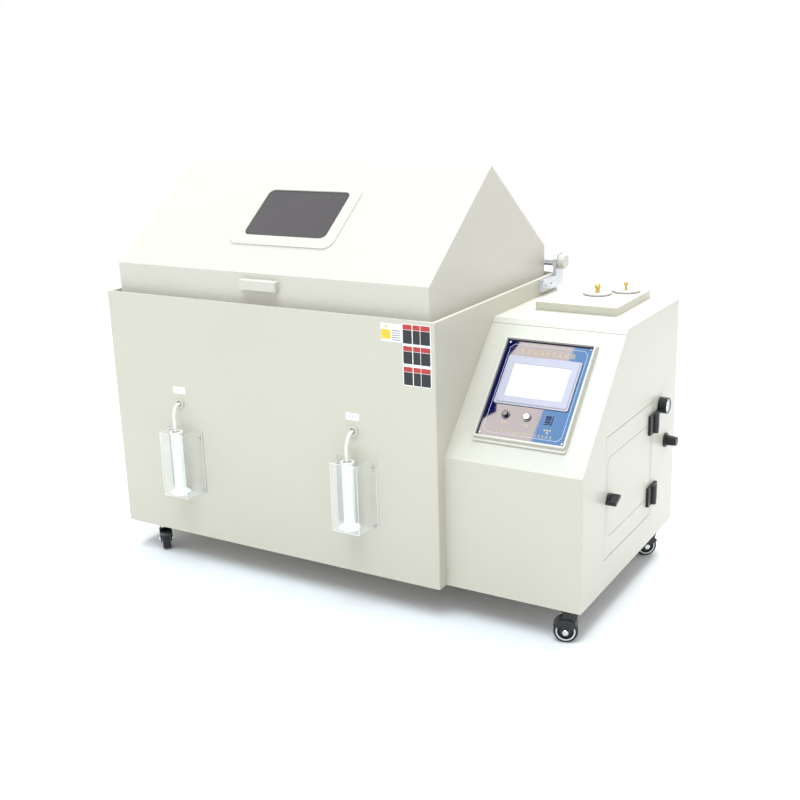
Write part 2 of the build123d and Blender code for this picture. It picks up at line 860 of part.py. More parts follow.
# Pipe fittings: the front port bushings and the spigots at the rear
air_x = cab_right - air_inlet_side_inset
air_z = base_z + air_inlet_height
with BuildPart() as pipe_fittings:
    with BuildSketch(Plane.XZ.offset(-tank_front)):
        with Locations(*[(x, port_z) for x in front_ports]):
            Circle(bushing_radius)
    extrude(amount=bushing_flange_thick)
    with BuildSketch(Plane.XZ.offset(-tank_front)):
        with Locations(*[(x, port_z) for x in front_ports]):
            Circle(bushing_neck_radius)
    extrude(amount=-tank_board - bushing_reach)
    with BuildSketch(Plane.XZ.offset(-tank_front + bushing_flange_thick)):
        with Locations(*[(x, port_z) for x in front_ports]):
            Circle(bushing_bore)
    extrude(amount=-tank_board - bushing_reach - bushing_flange_thick, mode=Mode.SUBTRACT)
    for x, z, radius in ((exhaust_x, exhaust_z, exhaust_radius), (drain_x, drain_z, drain_radius)):
        with BuildSketch(Plane.XZ.offset(-chamber_rear)):
            with Locations((x, z)):
                Circle(radius)
        extrude(amount=-(tank_rear + spigot_length - chamber_rear))
        with BuildSketch(Plane.XZ.offset(-tank_rear)):
            with Locations((x, z)):
                Circle(radius + rear_flange_width)
        extrude(amount=-rear_flange_thick)
        with BuildSketch(Plane.XZ.offset(-chamber_rear)):
            with Locations((x, z)):
                Circle(radius - pipe_wall)
        extrude(amount=-(tank_rear + spigot_length - chamber_rear), mode=Mode.SUBTRACT)
    with BuildSketch(Plane.XZ.offset(-cab_inner_rear)):
        with Locations((air_x, air_z)):
            Circle(air_inlet_radius)
    extrude(amount=-(cabinet_board + air_inlet_length))
    with BuildSketch(Plane.XZ.offset(-cab_rear)):
        with Locations((air_x, air_z)):
            Circle(air_inlet_radius + rear_flange_width)
    extrude(amount=-rear_flange_thick)
    with BuildSketch(Plane.XZ.offset(-cab_inner_rear)):
        with Locations((air_x, air_z)):
            Circle(air_inlet_radius - air_inlet_wall)
    extrude(amount=-(cabinet_board + air_inlet_length), mode=Mode.SUBTRACT)
save(pipe_fittings, "pipe_fittings")

# Cabinet shell: a box with a sloped front, open above for the top panel
door_low_y = cab_front + door_front_inset
door_high_y = cab_rear - door_rear_inset
door_width = door_high_y - door_low_y
door_low_z = base_z + door_base
door_high_z = door_low_z + door_height
door_mid = ((door_low_y + door_high_y) / 2, (door_low_z + door_high_z) / 2)
gauge_y = cab_rear - gauge_rear_inset
gauge_z = base_z + gauge_height
regulator_y = cab_rear - regulator_rear_inset
regulator_z = base_z + regulator_height
gland_x = cab_right - gland_side_inset
gland_z = base_z + gland_height
top_corner = (
    slope_top_y + cabinet_board * tan(radians(slope_angle / 2)),
    cab_top - cabinet_board,
)


def top_outline(lip):
    """The top panel's section: a flat board and a lip down the slope."""
    return (
        slope_point(slope_length - lip, 0),
        (slope_top_y, cab_top),
        (cab_rear, cab_top),
        (cab_rear, cab_top - cabinet_board),
        top_corner,
        slope_point(slope_length - lip, cabinet_board),
    )


panel_window = (
    panel_top_width - 2 * panel_border - 2 * plate_ledge,
    panel_top_height - 2 * panel_border - 2 * plate_ledge,
)

slope_board_end = slope_length - top_lip - seam
board_left = cab_inner_left + cabinet_gap
board_right = cab_inner_right - cabinet_gap
fold = (cab_inner_front, slope_low_z + cabinet_board * tan(radians(slope_angle / 2)))
side_top = (
    (cab_front, base_z),
    (cab_front, slope_low_z),
    slope_point(slope_board_end, 0),
    slope_point(slope_board_end, cabinet_board),
    top_corner,
    (cab_rear, cab_top - cabinet_board),
    (cab_rear, base_z),
)


with BuildPart() as cabinet_left:
    with BuildSketch(Plane.YZ.offset(tank_right)):
        with BuildLine():
            Polyline(*side_top, close=True)
        make_face()
    extrude(amount=cabinet_board)
    with BuildSketch(Plane.XY.offset(base_z)):
        with Locations(*[(tank_right + cabinet_board / 2, y) for y in tie_ys]):
            Rectangle(cabinet_board, tie_width)
    extrude(amount=frame_thick, mode=Mode.SUBTRACT)

with BuildPart() as cabinet_right:
    with BuildSketch(Plane.YZ.offset(cab_inner_right)):
        with BuildLine():
            Polyline(*side_top, close=True)
        make_face()
        with Locations(door_mid):
            RectangleRounded(door_width + 2 * door_gap, door_height + 2 * door_gap, door_round,
                             mode=Mode.SUBTRACT)
        with Locations((gauge_y, gauge_z)):
            Circle(gauge_stem_radius, mode=Mode.SUBTRACT)
        with Locations((regulator_y, regulator_z)):
            Circle(regulator_neck_radius, mode=Mode.SUBTRACT)
    extrude(amount=cabinet_board)
    outer_edges = cabinet_right.edges().filter_by_position(Axis.X, cab_right - bore_gap, cab_right + bore_gap)
    front_edges = outer_edges.filter_by(GeomType.LINE).filter_by(Axis.Z).sort_by(Axis.Y)[:1]
    chamfer(front_edges, board_edge)

with BuildPart() as door_stop:
    with BuildSketch(Plane.YZ.offset(cab_inner_right)):
        with Locations(door_mid):
            Rectangle(door_width + 2 * door_stop_width, door_height + 2 * door_stop_width)
            Rectangle(door_width - 2 * door_stop_reach, door_height - 2 * door_stop_reach, mode=Mode.SUBTRACT)
    extrude(amount=-door_stop_thick)

with BuildPart() as cabinet_front:
    with BuildSketch(Plane.YZ.offset(board_left)):
        with BuildLine():
            Polyline((cab_front, base_z), (cab_front, slope_low_z), fold, (cab_inner_front, base_z),
                     close=True)
        make_face()
    extrude(amount=board_right - board_left)

with BuildPart() as cabinet_slope:
    with BuildSketch(Plane.YZ.offset(board_left)):
        with BuildLine():
            Polyline(
                (cab_front, slope_low_z),
                slope_point(slope_board_end, 0),
                slope_point(slope_board_end, cabinet_board),
                fold,
                close=True,
            )
        make_face()
    extrude(amount=board_right - board_left)
    with BuildSketch(slope_plane):
        with Locations((0, panel_top_set)):
            Rectangle(*panel_window)
    extrude(amount=-cabinet_board, mode=Mode.SUBTRACT)

with BuildPart() as cabinet_rear:
    with BuildSketch(Plane.XZ.offset(-cab_rear)):
        with Locations(((board_left + board_right) / 2, (base_z + cab_top - cabinet_board) / 2)):
            Rectangle(board_right - board_left, cab_top - cabinet_board - base_z)
        with Locations((air_x, air_z)):
            Circle(air_inlet_radius, mode=Mode.SUBTRACT)
        with Locations((gland_x, gland_z)):
            Circle(gland_radius / 2, mode=Mode.SUBTRACT)
    extrude(amount=cabinet_board)

with BuildPart() as cabinet_floor:
    with BuildSketch(Plane.XY.offset(floor_z)):
        with Locations(frame_rings[1][:2]):
            Rectangle(frame_rings[1][2] - 2 * cabinet_gap, frame_rings[1][3] - 2 * cabinet_gap)
    extrude(amount=floor_board)

# The boards meet at welded seams and go out as one piece of the machine
cabinet_boards = (cabinet_left, cabinet_right, door_stop, cabinet_front, cabinet_slope, cabinet_rear,
                  cabinet_floor)
cabinet_shell = Compound([board.part.solid() for board in cabinet_boards])
cabinet_shell.label = "cabinet_shell"
export_step(cabinet_shell, "parts/cabinet_shell.step")

# Top panel: a board with a lip down the slope, a filling hatch and a rim round it
cover_x = cab_right - cover_side_inset - cover_width / 2
cover_y = cab_rear - cover_rear_inset - cover_depth / 2
rim_outer = (
    cover_width - 2 * cover_wall - 2 * hatch_gap,
    cover_depth - 2 * cover_wall - 2 * hatch_gap,
)
hatch = (rim_outer[0] - 2 * hatch_rim, rim_outer[1] - 2 * hatch_rim)
with BuildPart() as cabinet_top_panel:
    with BuildSketch(Plane.YZ.offset(tank_right)):
        with BuildLine():
            Polyline(*top_outline(top_lip), close=True)
        make_face()
    extrude(amount=cabinet_width)
    with BuildSketch(Plane.XY.offset(cab_top)):
        with Locations((cover_x, cover_y)):
            Rectangle(*rim_outer)
    extrude(amount=hatch_rim_height)
    with BuildSketch(Plane.XY.offset(cab_top + hatch_rim_height)):
        with Locations((cover_x, cover_y)):
            Rectangle(*hatch)
    extrude(amount=-hatch_rim_height - cabinet_board, mode=Mode.SUBTRACT)
save(cabinet_top_panel, "cabinet_top_panel")

# Lift-off cover over the hatch, with two round flanges and their brass fittings
cover_base = cab_top + turn_gap
cover_top = cover_base + cover_height
flange_spots = (
    (cab_right - cover_side_inset - front_flange_x, cab_rear - cover_rear_inset - front_flange_y),
    (cab_right - cover_side_inset - rear_flange_x, cab_rear - cover_rear_inset - rear_flange_y),
)
with BuildPart() as service_cover:
    with BuildSketch(Plane.XY.offset(cover_base)):
        with Locations((cover_x, cover_y)):
            Rectangle(cover_width, cover_depth)
    extrude(amount=cover_height)
    fillet(service_cover.edges().filter_by(Axis.Z), cover_edge)
    fillet(service_cover.faces().sort_by(Axis.Z)[-1].edges(), cover_edge)
    with BuildSketch(Plane.XY.offset(cover_base)):
        with Locations((cover_x, cover_y)):
            Rectangle(cover_width - 2 * cover_wall, cover_depth - 2 * cover_wall)
    extrude(amount=cover_height - cover_wall, mode=Mode.SUBTRACT)
    with BuildSketch(Plane.XY.offset(cover_top)):
        with Locations(*flange_spots):
            Circle(stem_bore)
    extrude(amount=-cover_wall, mode=Mode.SUBTRACT)
save(service_cover, "service_cover")

with BuildPart() as valve_flanges:
    with BuildSketch(Plane.XY.offset(cover_top)):
        with Locations(*flange_spots):
            Circle(flange_radius)
    extrude(amount=flange_thick)
    fillet(valve_flanges.faces().sort_by(Axis.Z)[-2:].edges(), flange_edge)
    with BuildSketch(Plane.XY.offset(cover_top)):
        with Locations(*flange_spots):
            Circle(stem_bore)
    extrude(amount=flange_thick, mode=Mode.SUBTRACT)
save(valve_flanges, "valve_flanges")


def make_fitting(name, spot, profile):
    """A brass fitting turned from a profile of radius and height above the flange."""
    seat = cover_top + flange_thick + turn_gap
    stem = flange_thick + turn_gap + cover_wall
    with BuildPart() as fitting:
        with BuildSketch(Plane(origin=(*spot, seat), x_dir=(1, 0, 0), z_dir=(0, -1, 0))):
            with BuildLine():
                Polyline((0, -stem), (stem_bore - bore_gap, -stem), (stem_bore - bore_gap, 0), *profile,
                         close=True)
            make_face()
        revolve(axis=Axis((*spot, seat), (0, 0, 1)))
    save(fitting, name)


make_fitting("relief_valve", flange_spots[0], (
    (relief_neck_radius, 0),
    (relief_neck_radius, relief_height * 0.4),
    (relief_radius, relief_height * 0.48),
    (relief_radius, relief_height * 0.8),
    (relief_radius * 0.55, relief_height),
    (0, relief_height),
))
make_fitting("filler_plug", flange_spots[1], (
    (plug_neck_radius, 0),
    (plug_neck_radius, plug_height * 0.45),
    (plug_radius, plug_height * 0.5),
    (plug_radius, plug_height),
    (0, plug_height),
))

# Control panel frame: a base layer that holds the plate, and a deep rim round the plate
with BuildPart() as panel_frame:
    with BuildSketch(slope_plane):
        with Locations((0, panel_base_set)):
            RectangleRounded(panel_base_width, panel_base_height, panel_round)
    extrude(amount=panel_base_thick)
    with BuildSketch(slope_plane.offset(panel_base_thick)):
        with Locations((0, panel_top_set)):
            RectangleRounded(panel_top_width, panel_top_height, panel_round)
    extrude(amount=panel_top_thick)
    top_face = panel_frame.faces().filter_by(slope_plane).sort_by(Axis(slope_plane.origin, slope_plane.z_dir))
    chamfer(top_face[-1].edges(), panel_edge)
    with BuildSketch(slope_plane.offset(panel_base_thick + panel_top_thick)):
        with Locations((0, panel_top_set)):
            Rectangle(panel_top_width - 2 * panel_border, panel_top_height - 2 * panel_border)
    extrude(amount=-panel_top_thick - plate_thick, mode=Mode.SUBTRACT)
    with BuildSketch(slope_plane.offset(panel_base_thick - plate_thick)):
        with Locations((0, panel_top_set)):
            Rectangle(*panel_window)
    extrude(amount=plate_thick - panel_base_thick, mode=Mode.SUBTRACT)
save(panel_frame, "panel_frame")

# Glossy plate with holes for the screen unit and the three controls
plate_face = slope_plane.offset(panel_base_thick)
plate_back = plate_face.offset(-plate_thick)
hmi_cut = (hmi_width - 2 * hmi_body_inset, hmi_height - 2 * hmi_body_inset)
rocker_cut = (rocker_frame_width - 2 * rocker_frame_rim, rocker_frame_height - 2 * rocker_frame_rim)
with BuildPart() as panel_plate:
    with BuildSketch(plate_back):
        with Locations((0, panel_top_set)):
            Rectangle(panel_top_width - 2 * panel_border, panel_top_height - 2 * panel_border)
        with Locations((hmi_shift, hmi_set)):
            Rectangle(*hmi_cut, mode=Mode.SUBTRACT)
        with Locations((button_shift, control_set), (key_shift, control_set)):
            Circle(collar_barrel_radius, mode=Mode.SUBTRACT)
        with Locations((rocker_shift, control_set)):
            Rectangle(*rocker_cut, mode=Mode.SUBTRACT)
    extrude(amount=plate_thick)
save(panel_plate, "panel_plate")

# Screws: four in each collector pocket's flanges, four at the plate's corners and two in each bracket's foot
holder_screw_shift = holder_flange_width / 2 - screw_edge_inset
plate_screw_x = panel_top_width / 2 - panel_border - plate_screw_inset
plate_screw_s = panel_top_height / 2 - panel_border - plate_screw_inset
bracket_screw_y = bracket_rear - bracket_foot_length + 2 * screw_edge_inset
bracket_screw_z = foot_low + bracket_foot_height / 2
with BuildPart() as screws:
    with BuildSketch(Plane.XZ.offset(holder_wall - tank_front)):
        for x in holder_xs:
            for side in (-1, 1):
                with Locations(
                    (x + side * holder_screw_shift, holder_z + screw_edge_inset),
                    (x + side * holder_screw_shift, holder_z + holder_height - holder_screw_drop),
                ):
                    Circle(screw_radius)
    extrude(amount=screw_thick)
    with BuildSketch(plate_face):
        with Locations((0, panel_top_set)):
            with GridLocations(2 * plate_screw_x, 2 * plate_screw_s, 2, 2):
                Circle(screw_radius)
    extrude(amount=screw_thick)
    for side_x, outward in ((tank_left - bracket_thick, -1), (tank_right + bracket_thick, 1)):
        with BuildSketch(Plane.YZ.offset(side_x)):
            with Locations(
                (bracket_screw_y, bracket_screw_z),
                (bracket_screw_y + 4 * screw_edge_inset, bracket_screw_z),
            ):
                Circle(screw_radius)
        extrude(amount=outward * screw_thick)
save(screws, "screws")

# Screen unit: a stepped bezel on the plate and its body behind
with BuildPart() as hmi_bezel:
    with BuildSketch(plate_face):
        with Locations((hmi_shift, hmi_set)):
            RectangleRounded(hmi_width, hmi_height, hmi_round)
    extrude(amount=hmi_step_height)
    with BuildSketch(plate_face):
        with Locations((hmi_shift, hmi_set)):
            RectangleRounded(hmi_width - 2 * hmi_step, hmi_height - 2 * hmi_step, hmi_round)
    extrude(amount=hmi_proud)
    bezel_faces = hmi_bezel.faces().filter_by(slope_plane)
    bezel_face = bezel_faces.sort_by(Axis(slope_plane.origin, slope_plane.z_dir))[-1]
    chamfer(bezel_face.edges(), hmi_edge)
    with BuildSketch(plate_face):
        with Locations((hmi_shift, hmi_set)):
            Rectangle(*hmi_cut)
    extrude(amount=-hmi_body_depth)
    with BuildSketch(plate_face.offset(hmi_proud)):
        with Locations((hmi_shift, hmi_set)):
            Rectangle(screen_width, screen_height)
    extrude(amount=-screen_recess - screen_thick, mode=Mode.SUBTRACT)
save(hmi_bezel, "hmi_bezel")

with BuildPart() as hmi_screen:
    with BuildSketch(plate_face.offset(hmi_proud - screen_recess)):
        with Locations((hmi_shift, hmi_set)):
            Rectangle(screen_width, screen_height)
    extrude(amount=-screen_thick)
save(hmi_screen, "hmi_screen")

# Collars of the push button and key switch, and the frame of the rocker
with BuildPart() as switch_collars:
    for shift in (button_shift, key_shift):
        with BuildSketch(plate_face):
            with Locations((shift, control_set)):
                Circle(collar_radius)
        extrude(amount=collar_proud)
        with BuildSketch(plate_face):
            with Locations((shift, control_set)):
                Circle(collar_barrel_radius)
        extrude(amount=-collar_barrel_depth)
    for shift, bore in ((button_shift, button_radius), (key_shift, key_plug_radius)):
        with BuildSketch(plate_face.offset(collar_proud)):
            with Locations((shift, control_set)):
                Circle(bore + bore_gap)
        extrude(amount=-collar_barrel_depth - collar_proud, mode=Mode.SUBTRACT)
    with BuildSketch(plate_face):
        with Locations((rocker_shift, control_set)):
            Rectangle(rocker_frame_width, rocker_frame_height)
    extrude(amount=collar_proud)
    with BuildSketch(plate_face):
        with Locations((rocker_shift, control_set)):
            Rectangle(*rocker_cut)
    extrude(amount=-collar_barrel_depth)
    with BuildSketch(plate_face.offset(collar_proud)):
        with Locations((rocker_shift, control_set)):
            Rectangle(rocker_cut[0] - 2 * turn_gap - 2 * rocker_side_rim, 2 * rocker_radius + 2 * turn_gap)
    extrude(amount=-collar_barrel_depth, mode=Mode.SUBTRACT)
save(switch_collars, "switch_collars")

with BuildPart() as power_button:
    with BuildSketch(plate_face.offset(collar_proud + button_proud)):
        with Locations((button_shift, control_set)):
            Circle(button_radius)
    extrude(amount=-button_proud - collar_barrel_depth + button_travel)
    button_top = power_button.faces().sort_by(Axis(slope_plane.origin, slope_plane.z_dir))[-1]
    fillet(button_top.edges(), button_edge)
save(power_button, "power_button")

with BuildPart() as key_switch:
    with BuildSketch(plate_face.offset(collar_proud + key_proud)):
        with Locations((key_shift, control_set)):
            Circle(key_plug_radius)
    extrude(amount=-key_proud - collar_barrel_depth)
    with BuildSketch(plate_face.offset(collar_proud + key_proud)):
        with Locations((key_shift, control_set)):
            Rectangle(key_slot_width, key_plug_radius * 1.2)
    extrude(amount=-key_slot_depth, mode=Mode.SUBTRACT)
save(key_switch, "key_switch")

# Rocker: a slice of a cylinder about its pivot, with a shallow hollow across its face
rocker_width = rocker_cut[0] - 4 * turn_gap - 2 * rocker_side_rim
rocker_centre = plate_face.from_local_coords((rocker_shift, control_set, collar_proud - rocker_pivot_depth))
rocker_side = Plane(origin=rocker_centre, x_dir=slope_plane.y_dir, z_dir=(1, 0, 0))
with BuildPart() as rocker:
    with BuildSketch(rocker_side):
        Circle(rocker_radius)
        with BuildLine():
            Polyline(
                (-rocker_radius, -rocker_radius / 2),
                (rocker_radius, -rocker_radius / 2),
                (rocker_radius, rocker_pivot_depth + rocker_proud),
                (0, rocker_pivot_depth + rocker_proud - rocker_hollow),
                (-rocker_radius, rocker_pivot_depth + rocker_proud),
                close=True,
            )
        make_face(mode=Mode.INTERSECT)
    extrude(amount=rocker_width / 2, both=True)
save(rocker, "rocker")

# Service door: a flush board with a shallow rounded groove, and a hole for the latch
door_in = cab_inner_right + turn_gap
latch_y = door_low_y + latch_inset
latch_z = door_mid[1] - latch_drop
with BuildPart() as service_door:
    with BuildSketch(Plane.YZ.offset(door_in)):
        with Locations(door_mid):
            RectangleRounded(door_width, door_height, door_round)
        with Locations((latch_y, latch_z)):
            Circle(latch_stem_radius + bore_gap, mode=Mode.SUBTRACT)
    extrude(amount=cab_right - door_in)
    chamfer(service_door.faces().sort_by(Axis.X)[-1].outer_wire().edges(), door_edge)
    with BuildSketch(Plane.YZ.offset(cab_right)):
        with Locations(door_mid):
            groove_w = door_width - 2 * groove_inset
            RectangleRounded(groove_w, groove_height, groove_round)
            RectangleRounded(groove_w - 2 * groove_width, groove_height - 2 * groove_width,
                             groove_round - groove_width, mode=Mode.SUBTRACT)
    extrude(amount=-groove_depth, mode=Mode.SUBTRACT)
save(service_door, "service_door")

# Door hinges: the fixed half has two outer knuckles and the pin, the moving half the middle knuckle
hinge_x = cab_right + hinge_knuckle_radius + turn_gap
hinge_y = door_high_y
hinge_zs = [door_mid[1] + k * hinge_spacing / 2 for k in (-1, 1)]
knuckle_split = hinge_height * 0.3
hinge_bar = hinge_knuckle_radius + hinge_web


with BuildPart() as door_hinge_fixed:
    for z in hinge_zs:
        low = z - hinge_height / 2
        with BuildSketch(Plane.YZ.offset(cab_right)):
            leaf = hinge_leaf - hinge_knuckle_radius - turn_gap
            with Locations((hinge_y + hinge_leaf - leaf / 2, z)):
                Rectangle(leaf, hinge_height)
        extrude(amount=hinge_thick)
        for start in (low, low + hinge_height - knuckle_split):
            with BuildSketch(Plane.XY.offset(start)):
                with Locations((hinge_x, hinge_y)):
                    Circle(hinge_knuckle_radius)
                with Locations((cab_right + hinge_thick / 2, hinge_y + hinge_bar / 2)):
                    Rectangle(hinge_thick, hinge_bar)
            extrude(amount=knuckle_split)
        with BuildSketch(Plane.XY.offset(low)):
            with Locations((hinge_x, hinge_y)):
                Circle(hinge_pin_radius)
        extrude(amount=hinge_height)
save(door_hinge_fixed, "door_hinge_fixed")

with BuildPart() as door_hinge_moving:
    for z in hinge_zs:
        low = z - hinge_height / 2
        middle = hinge_height - 2 * knuckle_split - 2 * turn_gap
        with BuildSketch(Plane.YZ.offset(cab_right)):
            leaf = hinge_leaf - hinge_knuckle_radius - turn_gap
            with Locations((hinge_y - hinge_leaf + leaf / 2, z)):
                Rectangle(leaf, hinge_height)
        extrude(amount=hinge_thick)
        with BuildSketch(Plane.XY.offset(low + knuckle_split + turn_gap)):
            with Locations((hinge_x, hinge_y)):
                Circle(hinge_knuckle_radius)
            with Locations((cab_right + hinge_thick / 2 + turn_gap, hinge_y - hinge_bar / 2)):
                Rectangle(hinge_thick, hinge_bar)
        extrude(amount=middle)
        with BuildSketch(Plane.XY.offset(low)):
            with Locations((hinge_x, hinge_y)):
                Circle(hinge_pin_radius + bore_gap)
        extrude(amount=hinge_height, mode=Mode.SUBTRACT)
save(door_hinge_moving, "door_hinge_moving")

# Wing latch: base, tilted wing, stem through the door and the cam behind it
latch_face = cab_right + turn_gap
cam_x = cab_inner_right - door_stop_thick - cam_set
with BuildPart() as latch_knob:
    with BuildSketch(Plane.YZ.offset(latch_face)):
        with Locations((latch_y, latch_z)):
            Circle(latch_base_radius)
    extrude(amount=latch_base_thick)
    fillet(latch_knob.faces().sort_by(Axis.X)[-1].edges(), latch_edge)
    with BuildSketch(Plane.YZ.offset(latch_face)):
        with Locations(Location((latch_y, latch_z), wing_tilt)):
            SlotOverall(wing_length, wing_thick)
    extrude(amount=latch_base_thick + wing_height)
    fillet(latch_knob.faces().sort_by(Axis.X)[-1].edges(), latch_edge)
    with BuildSketch(Plane.YZ.offset(latch_face)):
        with Locations((latch_y, latch_z)):
            Circle(latch_stem_radius)
    extrude(amount=cam_x - latch_face)
    with BuildSketch(Plane.YZ.offset(cam_x)):
        with Locations((latch_y, latch_z - cam_length / 2 + cam_width / 2)):
            SlotOverall(cam_length, cam_width, rotation=90)
    extrude(amount=-cam_thick)
save(latch_knob, "latch_knob")

# Pressure gauge: a cup with a stem through the wall, a dial and a clear lens
with BuildPart() as gauge_case:
    with BuildSketch(Plane.YZ.offset(cab_right)):
        with Locations((gauge_y, gauge_z)):
            Circle(gauge_radius)
    extrude(amount=gauge_depth)
    fillet(gauge_case.faces().sort_by(Axis.X)[-1].edges(), gauge_edge)
    with BuildSketch(Plane.YZ.offset(cab_right + gauge_back)):
        with Locations((gauge_y, gauge_z)):
            Circle(gauge_radius - gauge_wall)
    extrude(amount=gauge_depth, mode=Mode.SUBTRACT)
    with BuildSketch(Plane.YZ.offset(cab_right)):
        with Locations((gauge_y, gauge_z)):
            Circle(gauge_stem_radius)
    extrude(amount=-gauge_stem_length)
save(gauge_case, "gauge_case")

with BuildPart() as gauge_dial:
    with BuildSketch(Plane.YZ.offset(cab_right + gauge_back)):
        with Locations((gauge_y, gauge_z)):
            Circle(gauge_radius - gauge_wall)
    extrude(amount=gauge_depth - gauge_back - gauge_dial_drop)
save(gauge_dial, "gauge_dial")

with BuildPart() as gauge_lens:
    with BuildSketch(Plane.YZ.offset(cab_right + gauge_depth - gauge_lens_set)):
        with Locations((gauge_y, gauge_z)):
            Circle(gauge_radius - gauge_wall)
    extrude(amount=-gauge_lens_thick)
save(gauge_lens, "gauge_lens")

# Air regulator: block and bowl inside, threaded neck and nut through the wall, knob outside
with BuildPart() as regulator_body:
    with BuildSketch(Plane.YZ.offset(cab_right)):
        with Locations((regulator_y, regulator_z)):
            Circle(nut_radius)
    extrude(amount=nut_thick)
    fillet(regulator_body.faces().sort_by(Axis.X)[-1].edges(), nut_edge)
    with BuildSketch(Plane.YZ.offset(cab_right)):
        with Locations((regulator_y, regulator_z)):
            Circle(regulator_neck_radius)
    extrude(amount=-cabinet_board - regulator_gap)
    with BuildSketch(Plane.YZ.offset(cab_inner_right - regulator_gap)):
        with Locations((regulator_y, regulator_z)):
            RectangleRounded(regulator_body_size, regulator_body_height, regulator_round)
    extrude(amount=-regulator_body_size)
    with BuildSketch(Plane.XY.offset(regulator_z - regulator_body_height / 2)):
        with Locations((cab_inner_right - regulator_gap - regulator_body_size / 2, regulator_y)):
            Circle(regulator_bowl_radius)
    extrude(amount=-regulator_bowl_height)
    with BuildSketch(Plane.YZ.offset(cab_right + nut_thick)):
        with Locations((regulator_y, regulator_z)):
            Circle(knob_spindle_radius + bore_gap)
    extrude(amount=-knob_spindle_length - turn_gap, mode=Mode.SUBTRACT)
save(regulator_body, "regulator_body")

with BuildPart() as regulator_knob:
    knob_face = cab_right + nut_thick + turn_gap
    with BuildSketch(Plane.YZ.offset(knob_face)):
        with Locations((regulator_y, regulator_z)):
            Circle(knob_radius)
    extrude(amount=knob_length, taper=knob_taper)
    fillet(regulator_knob.faces().sort_by(Axis.X)[-1].edges(), knob_edge)
    with BuildSketch(Plane.YZ.offset(knob_face)):
        with Locations((regulator_y, regulator_z)):
            with PolarLocations(knob_radius + knob_flute_set, knob_flute_count):
                Circle(knob_flute_radius)
    extrude(amount=knob_length * 0.75, mode=Mode.SUBTRACT)
    with BuildSketch(Plane.YZ.offset(knob_face)):
        with Locations((regulator_y, regulator_z)):
            Circle(knob_spindle_radius)
    extrude(amount=-knob_spindle_length)
save(regulator_knob, "regulator_knob")

# Cable gland at the cabinet's rear
with BuildPart() as cable_gland:
    with BuildSketch(Plane.XZ.offset(-cab_rear)):
        with Locations((gland_x, gland_z)):
            RegularPolygon(gland_radius, 6)
    extrude(amount=-gland_length / 3)
    with BuildSketch(Plane.XZ.offset(-cab_rear)):
        with Locations((gland_x, gland_z)):
            Circle(gland_radius * 0.8)
    extrude(amount=-gland_length)
    with BuildSketch(Plane.XZ.offset(-cab_rear)):
        with Locations((gland_x, gland_z)):
            Circle(gland_radius / 2)
    extrude(amount=cabinet_board)
    with BuildSketch(Plane.XZ.offset(-cab_inner_rear)):
        with Locations((gland_x, gland_z)):
            Circle(gland_bore)
    extrude(amount=-gland_length - cabinet_board, mode=Mode.SUBTRACT)
save(cable_gland, "cable_gland")

# Spray tower on the chamber floor: a clear tube with a conical hat on three posts
with BuildPart() as spray_tower:
    tower_top = liner_floor_z + tower_height
    with BuildSketch(Plane.XY.offset(liner_floor_z)):
        with Locations((tank_mid, tank_mid_y)):
            Circle(tower_base_radius)
    extrude(amount=tower_base_thick)
    with BuildSketch(Plane.XY.offset(liner_floor_z)):
        with Locations((tank_mid, tank_mid_y)):
            Circle(tower_radius)
    extrude(amount=tower_height)
    with BuildSketch(Plane.XY.offset(liner_floor_z)):
        with Locations((tank_mid, tank_mid_y)):
            Circle(tower_radius - tower_wall)
    extrude(amount=tower_height, mode=Mode.SUBTRACT)
    with BuildSketch(Plane.XY.offset(tower_top - tower_post_foot)):
        with Locations((tank_mid, tank_mid_y)):
            with PolarLocations(tower_radius + tower_post_radius - 1, 3):
                Circle(tower_post_radius)
    extrude(amount=tower_post_foot + tower_post_height)
    hat_side = Plane(
        origin=(tank_mid, tank_mid_y, tower_top + tower_post_height - tower_hat_drop),
        x_dir=(1, 0, 0),
        z_dir=(0, -1, 0),
    )
    with BuildSketch(hat_side):
        with BuildLine():
            Polyline(
                (0, tower_hat_height - tower_wall),
                (tower_hat_radius, 0),
                (tower_hat_radius, tower_wall),
                (0, tower_hat_height),
                close=True,
            )
        make_face()
    revolve(axis=Axis(hat_side.origin, (0, 0, 1)))
save(spray_tower, "spray_tower")

with BuildPart() as spray_nozzle:
    with BuildSketch(Plane(origin=(tank_mid, tank_mid_y, liner_floor_z), x_dir=(1, 0, 0), z_dir=(0, -1, 0))):
        with BuildLine():
            Polyline(
                (0, 0),
                (nozzle_foot_radius, 0),
                (nozzle_foot_radius, nozzle_foot_height),
                (nozzle_radius, nozzle_foot_height + nozzle_foot_rise),
                (nozzle_radius, nozzle_height * 0.7),
                (nozzle_tip_radius, nozzle_height),
                (0, nozzle_height),
                close=True,
            )
        make_face()
    revolve(axis=Axis((tank_mid, tank_mid_y, liner_floor_z), (0, 0, 1)))
    with BuildSketch(Plane.XZ.offset(-tank_mid_y)):
        with Locations((tank_mid, liner_floor_z + nozzle_height * 0.4)):
            Circle(nozzle_arm_radius)
    extrude(amount=-nozzle_arm_length)
save(spray_nozzle, "spray_nozzle")

